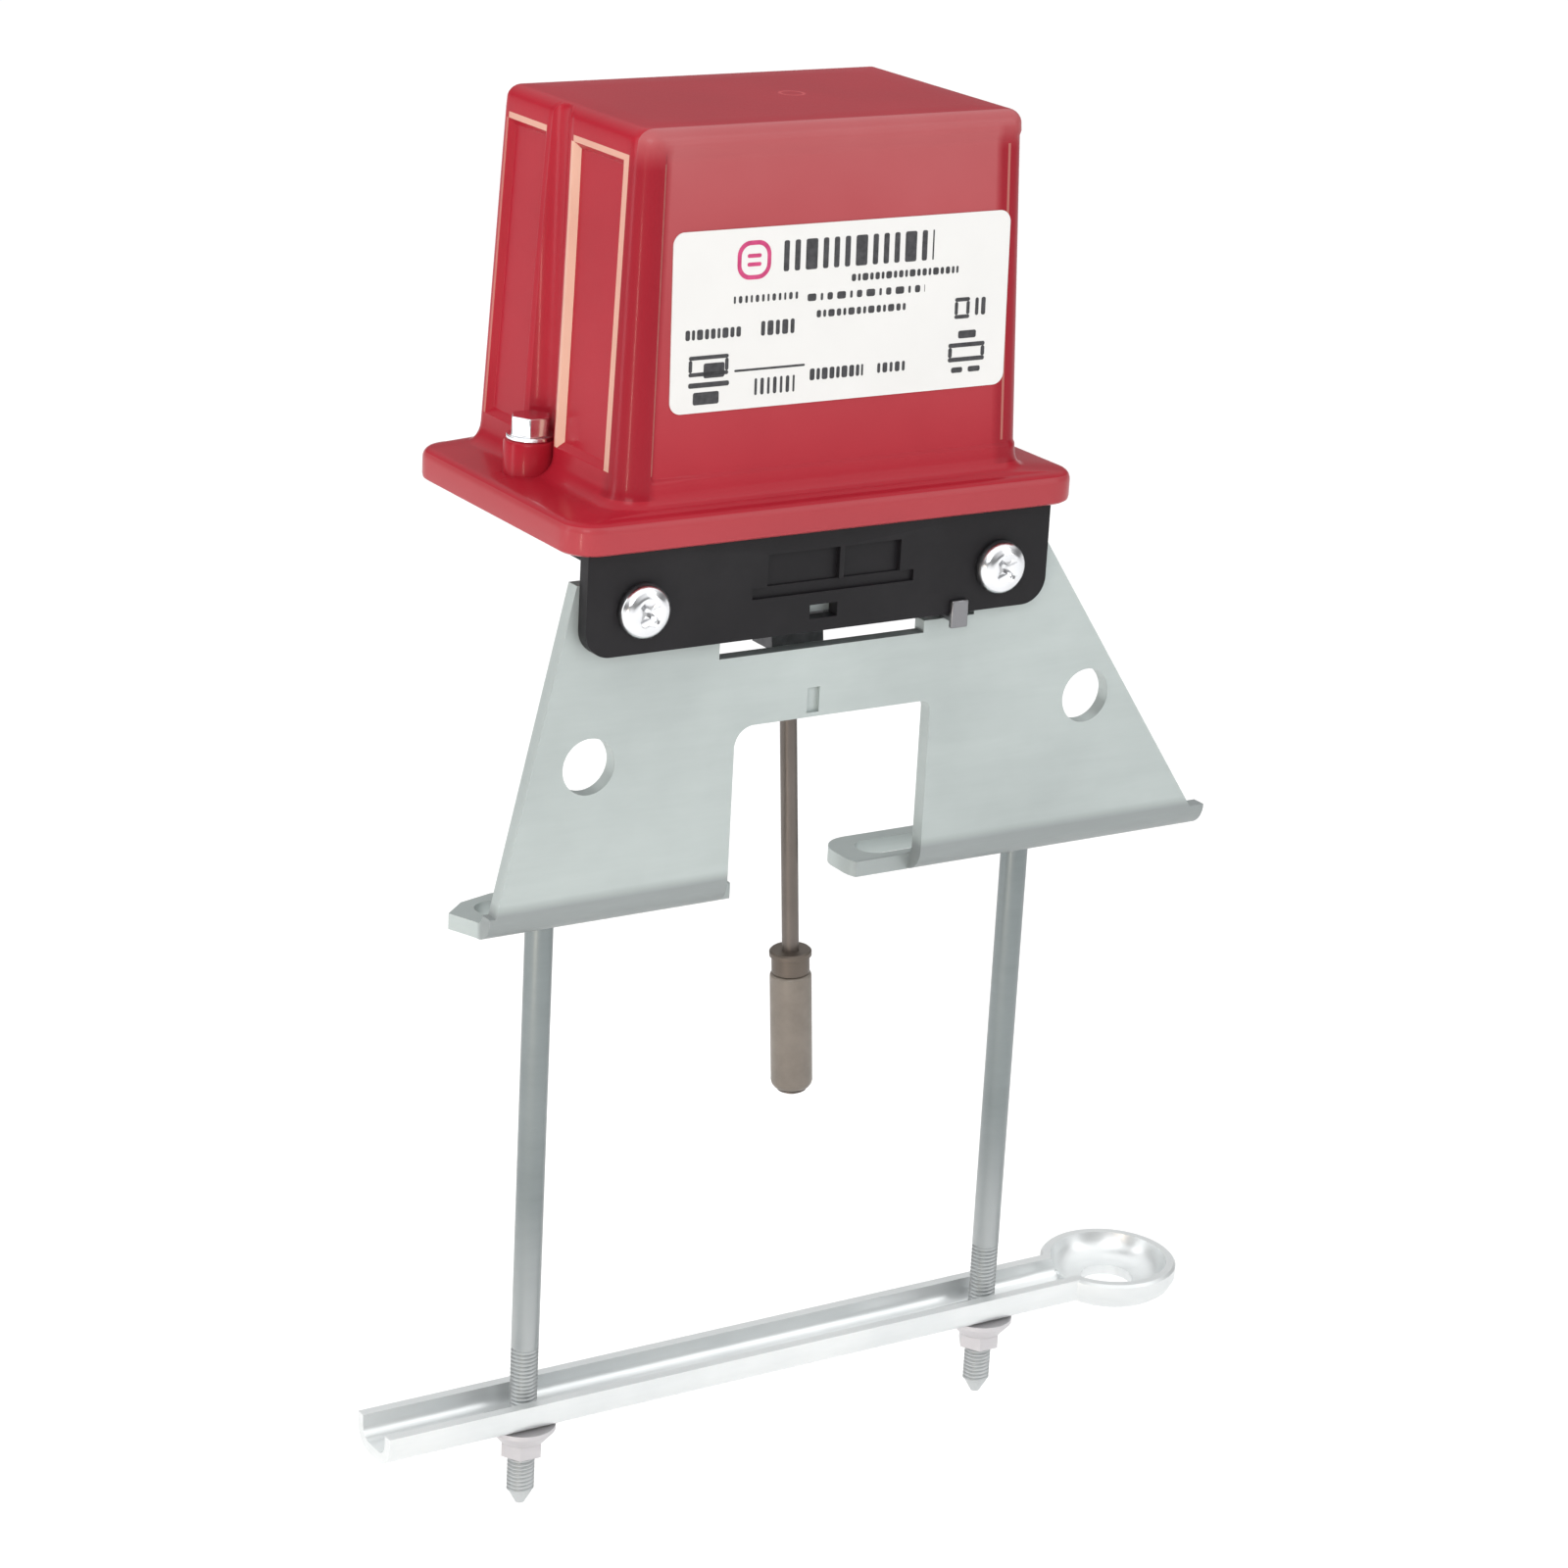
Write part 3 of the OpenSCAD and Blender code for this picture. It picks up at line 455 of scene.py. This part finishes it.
LOCK_CREST, LOCK_ROOT, LOCK_PITCH = 2.0, 1.6, 0.7
LOCK_THREAD_START, LOCK_THREAD_END = 2.0, 20.3
lock_core = turned([(1.5, 1.7), (1.62, 2.0), (1.62, 20.0)], lock_line)
lock_thread = thread(LOCK_CREST, LOCK_ROOT, LOCK_PITCH, LOCK_THREAD_START, LOCK_THREAD_END, lock_line)
lock_mesh = joined("locking_screw_threaded", lock_core, lock_thread)
smooth(lock_mesh, 60)
add_piece("locking_screw_threaded", lock_mesh, "lock", dark_steel, ["locking_screw"])
hexagon = turned([(3.0, 20.0), (3.18, 20.2), (3.18, 23.8), (2.9, 24.0)], lock_line, 6)
head_mesh = joined("locking_screw_head", hexagon)
head = add_piece("locking_screw_head", head_mesh, "lock", dark_steel)
ease(head, 0.25, 2, 30)

# ---------------------------------------------------------------------------
# Trip rod: drawn steel, held in the lever. A dark bronze collar is pressed on
# it, and a warm grey acetal roller turns freely below the collar, kept on by
# the rod's headed end.
# ---------------------------------------------------------------------------

rod_profile = [(0.6, -105.4), (1.7, -105.3), (2.8, -104.7), (2.75, -104.42),
               (1.6, -104.4), (1.6, -4.9), (1.3, -4.6)]
collar_profile = [(1.62, -80.7), (3.4, -80.7), (3.6, -80.5), (3.6, -77.4),
                  (4.0, -77.2), (4.0, -76.4), (3.7, -76.1), (1.62, -76.1)]
roller_profile = [(1.68, -104.2), (2.9, -104.2), (3.45, -103.95), (3.8, -103.45), (3.95, -102.8),
                  (3.95, -81.4), (3.85, -81.0), (3.6, -80.8), (1.68, -80.8)]

rod_steel = steel("rod_steel", (0.145, 0.126, 0.113), 0.30, 0.75)
collar_bronze = steel("collar_bronze", (0.13, 0.108, 0.09), 0.34, 0.7)
acetal = Paint("sleeve_acetal", Specular_IOR_Level=0.5)
grain = acetal.noise(300.0, at=acetal.stretched((1.0, 1.0, 0.2)))
scuff = acetal.noise(120.0, 5.0, 0.7)
acetal.surface(
    Base_Color=acetal.mix(scuff.ramp(0.4, 0.8), (0.178, 0.154, 0.129), (0.125, 0.106, 0.088)),
    Roughness=0.34 + scuff * 0.18,
    Normal=acetal.bump(grain * 0.6 + scuff * 0.4, 0.00005, 0.5),
)
for name, profile, sides, crease, body, slot, material, node in (
        ("trip_rod_drawn", rod_profile, 40, 35,
         "rod", "rod_steel", rod_steel, "trip_rod"),
        ("sleeve_collar_turned", collar_profile, 40, 35,
         "rod", "collar_bronze", collar_bronze, "sleeve_collar"),
        ("roller_sleeve", roller_profile, 48, 40,
         "sleeve", "sleeve_acetal", acetal.material, "rod_sleeve")):
    mesh = joined(name, turned(profile, lean, sides))
    smooth(mesh, crease)
    add_piece(name, mesh, body, material, [node])

# ---------------------------------------------------------------------------
# Works: two snap switches on a zinc-plated bracket with a fibre card between
# them, their red buttons, brass blades and screws, a barrier block for the
# wires and a green earth screw, all fixed to the base's floor.
# ---------------------------------------------------------------------------


def moulding(name, light, dark, rough, depth=0.00006):
    plastic = Paint(name)
    sparkle = plastic.noise(800.0)
    flow = plastic.noise(70.0, 3.0)
    return plastic.surface(
        Base_Color=plastic.mix(flow.ramp(0.35, 0.75), light, dark),
        Roughness=rough + sparkle * 0.14,
        Normal=plastic.bump(sparkle, depth, 0.45),
    )


case = moulding("switch_case", (0.05, 0.05, 0.055), (0.03, 0.03, 0.034), 0.4)
nylon = moulding("button_plastic", (0.42, 0.03, 0.03), (0.34, 0.02, 0.02), 0.25)
fibre = moulding("insulator_card", (0.42, 0.31, 0.17), (0.34, 0.24, 0.12), 0.7, 0.0001)
phenolic = moulding("block_plastic", (0.045, 0.045, 0.05), (0.07, 0.07, 0.075), 0.45)
green = moulding("earth_green", (0.03, 0.26, 0.09), (0.02, 0.18, 0.06), 0.28)
brass = steel("terminal_brass", (0.72, 0.53, 0.20), 0.22)
for end in ("front", "rear"):
    eased_copy(f"switch_{end}", f"snap_switch_{end}", "frame", case, 0.4)
    eased_copy(f"plunger_{end}", f"switch_button_{end}", f"button_{end}", nylon, 0.3)
for node, name, slot, material, width in (
        ("switch_bracket", "switch_bracket_plate", "zinc_plate", bracket_zinc, 0.2),
        ("switch_nuts", "switch_nut_pair", "zinc_plate", bracket_zinc, 0.2),
        ("switch_screws", "switch_screw_pair", "bright_screw", nickel, 0.2),
        ("bracket_screws", "bracket_screw_pair", "bright_screw", nickel, 0.2),
        ("switch_spacer", "fibre_card", "insulator_card", fibre, 0.1),
        ("switch_terminals", "switch_blades", "terminal_brass", brass, 0.12),
        ("terminal_block", "barrier_block", "block_plastic", phenolic, 0.3),
        ("terminal_screws", "barrier_screws", "terminal_brass", brass, 0.2),
        ("ground_screw", "earth_screw", "earth_green", green, 0.2)):
    eased_copy(node, name, "frame", material, width)

# ---------------------------------------------------------------------------
# Cover: a deep die-cast cap in red enamel. Its walls draft inwards to a
# round-edged top, each end wall has two sunk panels with a screw channel
# between them, and a flared flange with a rolled lip closes over the base.
# ---------------------------------------------------------------------------

CORNER_STEPS, CHANNEL_STEPS, BEND_STEPS = 10, 14, 6
LIP_FOOT, FLANGE_HALF, FLANGE_FRONT, FLANGE_BACK, FLANGE_R = 71.0, 53, -16, 46, 6
BODY_FOOT, BODY_HEIGHT = 78, 64.8
BODY_HALF, BODY_FRONT, BODY_BACK = 42, -11.5, 42.5
FRONT_R, BACK_R, RIGHT_POST_TIGHT = 5.2, 2.8, 1.4
DRAFT_END, DRAFT_FRONT, DRAFT_BACK = 2.7, 2.1, 2.2
CHANNEL_R, CAVITY_CHANNEL_R = 5.2, 7.7
PANEL_SUNK, POST_PROUD, LIP_ROLL, TOP_ROLL = 1.1, 0.5, 1.9, 2.6


def arc(x, y, r, start, end, steps):
    for step in range(steps + 1):
        angle = math.radians(start + (end - start) * step / steps)
        yield x + r * math.cos(angle), y + r * math.sin(angle)


def end_wall(half, y0, y1, channel, sunk):
    """Points up one end wall from y0 to y1: a sunk panel, the screw channel, and a second sunk panel."""
    offset = LUG_X - half
    cut = channel > abs(offset)
    reach = math.sqrt(channel * channel - offset * offset) if cut else 2.0
    near, far, soft = LUG_Y - reach, LUG_Y + reach, 0.14 if cut else 0.0
    slope = max(sunk, 0.3)
    yield half, y0 + 1.7
    yield half - sunk, y0 + 1.7 + slope
    yield half - sunk, (y0 + near) / 2
    yield half - sunk, near - 1.5 - slope
    yield half, near - 1.5
    yield half, near - 1.0
    yield half - soft, near - 0.5
    for step in range(1, CHANNEL_STEPS):
        y = LUG_Y - reach * math.cos(math.pi * step / CHANNEL_STEPS)
        depth = math.sqrt(max(channel * channel - (y - LUG_Y) ** 2, 0))
        yield min(half, LUG_X - depth) if cut else half, y
    yield half - soft, far + 0.5
    yield half, far + 1.0
    yield half, far + 1.5
    yield half - sunk, far + 1.5 + slope
    yield half - sunk, (far + y1) / 2
    yield half - sunk, y1 - 0.7 - slope
    yield half, y1 - 0.7


def outline(half, y0, y1, r_front, r_back, channel=0.0, sunk=0.0, proud=0.0, tight=0.0):
    """One level, anticlockwise from the front's middle; only the left corner post stands proud."""
    sides = []
    for post, r in ((0.0, max(r_front - tight, 0.8)), (proud, r_front)):
        edge = half - r
        loop = [(0, y0), (edge * 0.5, y0), (edge - 0.9, y0), (edge - 0.4, y0 - post)]
        loop += list(arc(edge, y0 - post + r, r, -90, 0, CORNER_STEPS))
        loop += list(end_wall(half, y0 - post + r, y1 - r_back, channel, sunk))
        loop += list(arc(half - r_back, y1 - r_back, r_back, 0, 90, CORNER_STEPS))
        sides.append(loop + [((half - r_back) * 0.5, y1), (0, y1)])
    return sides[0] + [(-x, y) for x, y in sides[1][-2:0:-1]]


def body_level(z, inset=0.0, flare=0.0, sunk=0.0, proud=0.0):
    draft = (z - BODY_FOOT) / BODY_HEIGHT
    front = BODY_FRONT - (0 if proud else POST_PROUD) + DRAFT_FRONT * draft
    return z, outline(
        BODY_HALF - DRAFT_END * draft + flare - inset,
        front - flare * 0.45 + inset,
        BODY_BACK - DRAFT_BACK * draft + flare * 0.45 - inset,
        max(FRONT_R - draft + flare - inset * 0.9, 0.8),
        max(BACK_R - 0.4 * draft + flare - inset * 0.9, 0.6),
        CHANNEL_R - flare + inset * 0.3, sunk, proud, RIGHT_POST_TIGHT)


def flange_level(z, tuck):
    r = FLANGE_R - tuck
    return z, outline(FLANGE_HALF - tuck, FLANGE_FRONT + tuck, FLANGE_BACK - tuck, r, r)


def loft(mesh_name, levels):
    """Skin between outlines of equal length; each level is (z, points)."""
    points, faces = [], []
    count = len(levels[0][1])
    for z, loop in levels:
        points += [(x * MM, y * MM, z * MM) for x, y in loop]
    for row in range(len(levels) - 1):
        low, high = row * count, (row + 1) * count
        for at in range(count):
            beside = (at + 1) % count
            faces.append((low + at, low + beside, high + beside, high + at))
    faces.append(tuple(range(count))[::-1])
    faces.append(tuple(range((len(levels) - 1) * count, len(levels) * count)))
    mesh = bpy.data.meshes.new(mesh_name)
    mesh.from_pydata(points, [], faces)
    return mesh


# the cavity from its ceiling down, the open foot, the lip, the flare and the walls
levels = [
    (140.0, outline(34.0, -4.2, 35.0, 1.5, 1.5, CAVITY_CHANNEL_R)),
    (139.4, outline(36.5, -6.8, 37.7, 3.0, 1.5, CAVITY_CHANNEL_R)),
    (79.0, outline(39.4, -8.9, 39.9, 3.5, 1.5, CAVITY_CHANNEL_R)),
    (75.3, outline(39.5, -9.0, 40.0, 3.5, 1.5, CAVITY_CHANNEL_R)),
    (75.2, outline(48.9, -13.1, 43.1, 5.0, 5.0)),
    (LIP_FOOT + 0.3, outline(49.0, -13.2, 43.2, 5.0, 5.0)),
    (LIP_FOOT, outline(49.4, -13.6, 43.6, 5.2, 5.2)),
    (LIP_FOOT, outline(52.3, -15.3, 45.3, 5.4, 5.4)),
    (LIP_FOOT + 0.4, outline(52.9, -15.9, 45.9, 6.0, 6.0)),
    flange_level(LIP_FOOT + 1.0, 0),
    flange_level(LIP_FOOT + 4.0, 0),
]
for step in range(1, BEND_STEPS + 1):
    bend = math.radians(90 * step / BEND_STEPS)
    levels.append(flange_level(75.0 + LIP_ROLL * math.sin(bend), LIP_ROLL * (1 - math.cos(bend))))
levels.append((77.05, outline(50.2, -13.85, 43.99, 5.0, 4.4)))
for step in range(BEND_STEPS + 1):
    bend = math.radians(90 * step / BEND_STEPS)
    levels.append(body_level(77.5 + 3.6 * (1 - math.cos(bend)), flare=3.2 * (1 - math.sin(bend))))
levels.append(body_level(82.0))
levels += [body_level(z, proud=POST_PROUD) for z in (82.6, 83.2)]
panel_foot = len(levels)
levels += [body_level(z, sunk=PANEL_SUNK, proud=POST_PROUD) for z in (84.3, 95, 110, 125, 135.9)]
panel_head = len(levels)
levels += [body_level(z, proud=POST_PROUD) for z in (137.0, 138.1)]
levels.append(body_level(139.0))
for step in range(1, BEND_STEPS + 2):
    bend = math.radians(90 * step / (BEND_STEPS + 1))
    levels.append(body_level(140.2 + TOP_ROLL * math.sin(bend), inset=TOP_ROLL * (1 - math.cos(bend))))
levels.append(body_level(142.8, inset=8.0))
cover_mesh = loft("cover_shell", levels)

# Painted highlights: the enamel's colour is painted pale cream in strips along the casting's sharpest
# edges, the rims of the panels, the lips of the channels and the step beside each corner post.
RIM_STRIPS = {2: 0.3, 14: 0.8, 18: 1.0, 19: 1.0, 20: 0.7, 37: 0.25, 41: 0.3}
HEAD_STRIPS = (14, 15, 16, 17, 18, 37, 38, 39, 40)
rim_highlight_paint = cover_mesh.attributes.new("rim_highlight_paint", "FLOAT", "FACE")
around = len(levels[0][1])
for strip, amount in RIM_STRIPS.items():
    for row in range(panel_foot - 1, panel_head):
        for at in (strip, around - 1 - strip):
            rim_highlight_paint.data[row * around + at].value = amount
for strip in HEAD_STRIPS:
    for at in (strip, around - 1 - strip):
        rim_highlight_paint.data[panel_head * around + at].value = 0.8

# screw lugs, joined to the same casting
LUG_SIDES = 32
lug_profile = ((4.8, 76.5), (4.8, 82.8), (4.6, 83.3), (4.2, 83.5), (2.4, 83.5), (2.2, 83.3), (2.2, 75.2))
shell = bmesh.new()
shell.from_mesh(cover_mesh)
for side in (-1, 1):
    rings = []
    for radius, z in lug_profile:
        turns = (2 * math.pi * at / LUG_SIDES for at in range(LUG_SIDES))
        rings.append([shell.verts.new(((side * LUG_X + radius * math.cos(a)) * MM,
                                       (LUG_Y + radius * math.sin(a)) * MM, z * MM)) for a in turns])
    for low, high in zip(rings, rings[1:]):
        for at in range(LUG_SIDES):
            beside = (at + 1) % LUG_SIDES
            shell.faces.new((low[at], low[beside], high[beside], high[at]))
bmesh.ops.recalc_face_normals(shell, faces=shell.faces)
shell.to_mesh(cover_mesh)
shell.free()
smooth(cover_mesh, 38)

# the round mark that the casting's gate leaves on the top, in metres
GATE_PLACE, GATE_RING, GATE_LINE = (0.0063, 0.0166, 0.1428), 0.0022, 0.0003
enamel = Paint("red_enamel", Coat_Roughness=0.12, Specular_IOR_Level=0.1)
across, back, up = (enamel.axis(way) for way in "XYZ")
cloud = enamel.noise(22.0, 3.0)
orange_peel = enamel.noise(900.0, 2.0, 0.5)
grit = enamel.noise(2600.0, 2.0)
gate = {0: enamel.place(), 1: GATE_PLACE}
from_gate = enamel.node("ShaderNodeVectorMath", {"operation": "DISTANCE"}, gate, outlet="Value")
gate_ring = (abs(from_gate - GATE_RING) < GATE_LINE) * (from_gate < 0.004)
# painted highlight: the strips marked on the shell are painted pale cream
rim_highlight_share = enamel.node("ShaderNodeAttribute", {"attribute_name": "rim_highlight_paint"}, outlet="Fac")
painted_rim_highlight = rim_highlight_share * (0.55 + cloud * 0.5)
# Painted sheen: the front face is painted paler towards the top, and the flange lip paler all round,
# standing in for reflections of the room.
painted_sheen = up.ramp(0.076, 0.142) * (back < -0.0075) * (0.40 + cloud * 0.5) + (up < 0.0762) * 0.3
# Painted shade: the rounded front corner posts are painted a darker red.
beside_post = (abs(across) + (up - 0.078) * 0.035).ramp(0.0352, 0.0368)
post = beside_post * (up > 0.079) * (1.0 - up.ramp(0.136, 0.141))
red = enamel.mix(cloud.ramp(0.35, 0.7), (0.315, 0.010, 0.021), (0.362, 0.013, 0.026))
red = enamel.mix((grit.ramp(0.62, 0.75) * 0.25).limit(), red, (0.26, 0.008, 0.017))
# painted sheen, kept off the corner posts
red = enamel.mix((painted_sheen * (1.0 - post)).limit(), red, (0.40, 0.125, 0.13))
# painted shade on the corner posts
red = enamel.mix(post * back.ramp(-0.0045, -0.0065) * 0.55, red, (0.20, 0.006, 0.014))
# painted highlight: pale cream along the panel rims and channel lips
red = enamel.mix((painted_rim_highlight * 0.95).limit(), red, (0.72, 0.49, 0.37))
enamel.surface(
    Base_Color=enamel.mix(gate_ring * 0.5, red, (0.62, 0.10, 0.11)),
    Roughness=0.24 + cloud * 0.10 + grit * 0.05,
    Coat_Weight=0.08 + cloud * 0.1,
    Normal=enamel.bump(orange_peel * 0.6 + grit * 0.25 - gate_ring * 1.5, 0.00004, 0.35),
)
cover = add_piece("cover_shell", cover_mesh, "cover", enamel.material, ["cover"])
ease(cover, 0.3, 2, 40)

# ---------------------------------------------------------------------------
# Label: a white printed sticker, round at the corners, stuck on the cover's
# front. Its print is rows of plain marks, bars and boxes that say nothing.
# ---------------------------------------------------------------------------

WALL_LEAN = math.atan(2.1 / 61.8)
LABEL_X = 2.1
LABEL_HALF, LABEL_FOOT, LABEL_HEAD = 34.8, 15.6, 47.2
wall_foot = Matrix.Translation((LABEL_X * MM, BODY_FRONT * MM, BODY_FOOT * MM))
wall_face = wall_foot @ Matrix.Rotation(-WALL_LEAN, 4, "X")


def tag(mesh_name, boxes, near, far, r, steps=6):
    """Flat plates with round corners, standing off the cover's front face between two distances."""
    points, faces = [], []
    for x0, x1, z0, z1 in boxes:
        corner = min(r, (x1 - x0) / 2.01, (z1 - z0) / 2.01)
        left, right, low, high = x0 + corner, x1 - corner, z0 + corner, z1 - corner
        rim = []
        for x, z, start in ((right, low, -90), (right, high, 0), (left, high, 90), (left, low, 180)):
            rim += list(arc(x, z, corner, start, start + 90, steps))
        base, count = len(points), len(rim)
        for stand in (near, far):
            points += [wall_face @ Vector((x * MM, -stand * MM, z * MM)) for x, z in rim]
        faces.append([base + count + at for at in range(count)])
        for at in range(count):
            beside = (at + 1) % count
            faces.append([base + at, base + beside, base + count + beside, base + count + at])
    mesh = bpy.data.meshes.new(mesh_name)
    mesh.from_pydata(points, [], faces)
    return mesh


def marks(x0, x1, z0, z1, widths, gap):
    """Small blocks of unlike widths in a row, standing for a line of print."""
    row, x, turn_of = [], x0, 0
    while x < x1:
        width = widths[turn_of % len(widths)]
        row.append((x, min(x + width, x1), z0, z1))
        x += width + gap
        turn_of += 1
    return row


def open_box(x0, x1, z0, z1, line):
    return [(x0, x1, z0, z0 + line), (x0, x1, z1 - line, z1),
            (x0, x0 + line, z0 + line, z1 - line), (x1 - line, x1, z0 + line, z1 - line)]


stock = Paint("label_stock", Coat_Roughness=0.2)
fibres = stock.noise(700.0, 5.0)
stain = stock.noise(60.0, 3.0)
stock.surface(
    Base_Color=stock.mix(stain.ramp(0.4, 0.8) * 0.5, (0.68, 0.68, 0.67), (0.63, 0.63, 0.62)),
    Roughness=0.38 + fibres * 0.15,
    Coat_Weight=0.15 + stain * 0.1,
    Normal=stock.bump(fibres, 0.00002, 0.4),
)


def ink(name, scale, full, thin):
    colour = Paint(name)
    breaks = colour.noise(scale, 3.0)
    return colour.surface(
        Base_Color=colour.mix(breaks.ramp(0.3, 0.75), full, thin),
        Roughness=0.4 + breaks * 0.2,
    )


black_ink = ink("label_ink", 900.0, (0.015, 0.015, 0.018), (0.05, 0.05, 0.055))
crimson = ink("label_ink_crimson", 700.0, (0.42, 0.02, 0.12), (0.55, 0.05, 0.18))
print_rows = (
    marks(-12.6, 18.6, 39.2, 44.6, (1.1, 1.1, 2.4, 1.1), 1.15)
    + marks(1.5, 24.0, 36.5, 37.8, (0.9, 0.55, 1.2, 0.7), 0.4)
    + marks(-22.5, -9.5, 34.2, 35.5, (0.4, 0.7, 0.5), 0.6)
    + marks(-7.5, 17.0, 33.6, 34.9, (1.8, 0.5, 1.1), 0.9)
    + marks(-5.5, 13.5, 30.6, 31.9, (0.9, 0.6, 1.3), 0.45)
    + marks(-32.0, -20.8, 28.4, 30.2, (0.9, 0.6, 1.2, 0.8), 0.4)
    + marks(-16.8, -9.8, 28.2, 30.8, (0.8, 1.2), 0.5)
    + marks(-6.5, 4.6, 19.5, 21.6, (1.0, 0.7, 1.2), 0.4)
    + marks(7.6, 13.6, 19.7, 21.5, (0.6, 1.0), 0.5)
    + marks(-17.8, -9.6, 17.8, 20.8, (0.5, 0.7), 0.7)
    + marks(28.0, 30.6, 28.6, 31.8, (0.7, 0.9), 0.6)
    + open_box(-31.2, -23.2, 22.0, 25.6, 0.7)
    + open_box(22.6, 30.4, 20.4, 23.8, 0.8)
    + open_box(23.6, 26.8, 28.2, 32.0, 0.7)
    + [(-22.0, -7.6, 22.2, 22.6), (-31.2, -23.0, 20.0, 20.9), (-30.2, -25.0, 17.0, 19.2),
       (-28.2, -24.0, 21.6, 24.2), (24.6, 28.4, 24.6, 26.0), (23.4, 25.8, 18.4, 19.4),
       (27.0, 29.6, 18.4, 19.4)]
)
for name, boxes, near, far, r, steps, material, nodes in (
        ("label_sticker", [(-LABEL_HALF, LABEL_HALF, LABEL_FOOT, LABEL_HEAD)],
         0.0, 0.24, 2.2, 10, stock.material, ["cover_label"]),
        ("label_print", print_rows, 0.2, 0.27, 0.35, 3, black_ink, ()),
        ("label_print_block", [(-22.0, -15.2, 38.2, 45.0)], 0.2, 0.27, 2.6, 8, crimson, ()),
        ("label_print_field", [(-21.2, -16.0, 39.0, 44.2)], 0.2, 0.29, 1.9, 8, stock.material, ()),
        ("label_print_strokes", [(-20.0, -17.2, 42.0, 42.7), (-20.0, -17.2, 40.5, 41.2)],
         0.2, 0.31, 0.3, 3, crimson, ())):
    add_piece(name, tag(name, boxes, near, far, r, steps), "cover", material, nodes)

# ---------------------------------------------------------------------------
# Cover screws: bright nickel-plated hex heads with washers, one in each end
# channel, that clamp the cover's lugs to the base's posts.
# ---------------------------------------------------------------------------

for side in ("left", "right"):
    node = f"cover_screw_{side}"
    eased_copy(node, f"{node}_hex", f"screw_{side}", nickel, 0.3)

# ---------------------------------------------------------------------------
# Yoke clamp: two long zinc-plated bolts with domed heads and square necks
# hang from the slotted feet. A rolled channel bar with a dished ring rides on
# them, held up by two flange nuts.
# ---------------------------------------------------------------------------

NECK_SIDES, NECK_TURN = 4, math.radians(45)
THREAD_CREST, THREAD_ROOT, THREAD_PITCH = 2.6, 2.2, 0.8
THREAD_START, THREAD_END = -115.9, -85.0
shank_profile = [(0.2, -118.0), (0.9, -118.0), (2.2, -115.6), (2.25, -86.0), (2.6, -85.4), (2.6, 0.42)]
dome_profile = [(4.9, 3.0), (4.85, 3.4), (4.55, 4.1), (3.9, 4.75), (3.0, 5.25), (1.6, 5.6), (0.2, 5.7)]
neck_profile = [(4.45, 0.4), (4.6, 0.6), (4.6, 3.0)]

bolt_zinc = zinc("bolt_zinc", (0.245, 0.275, 0.277), (0.175, 0.20, 0.203), 0.75, 0.26,
                 paler=(0.50, 0.52, 0.525))
nut_zinc = zinc("nut_zinc", (0.60, 0.585, 0.60), (0.46, 0.45, 0.465), 0.5, 0.34)
bar_zinc = zinc("bar_zinc", (0.76, 0.78, 0.78), (0.58, 0.61, 0.62), 0.62, 0.24)
BOLT_LEFT_X, BOLT_RIGHT_X = -48.6, 55.2
for side, bolt_x in (("left", BOLT_LEFT_X), ("right", BOLT_RIGHT_X)):
    line = Matrix.Translation((bolt_x * MM, 0, 0))
    mesh = joined(f"clamp_bolt_{side}",
                  turned(shank_profile, line),
                  turned(dome_profile, line),
                  turned(neck_profile, line @ Matrix.Rotation(NECK_TURN, 4, "Z"), NECK_SIDES),
                  thread(THREAD_CREST, THREAD_ROOT, THREAD_PITCH, THREAD_START, THREAD_END, line))
    smooth(mesh, 40)
    add_piece(f"clamp_bolt_{side}", mesh, "bolts", bolt_zinc, [f"bolt_{side}"])
    eased_copy(f"nut_{side}", f"flange_nut_{side}", f"nut_{side[0]}", nut_zinc, 0.35)
eased_copy("clamp_bar", "clamp_channel", "bar", bar_zinc, 0.5, 3)
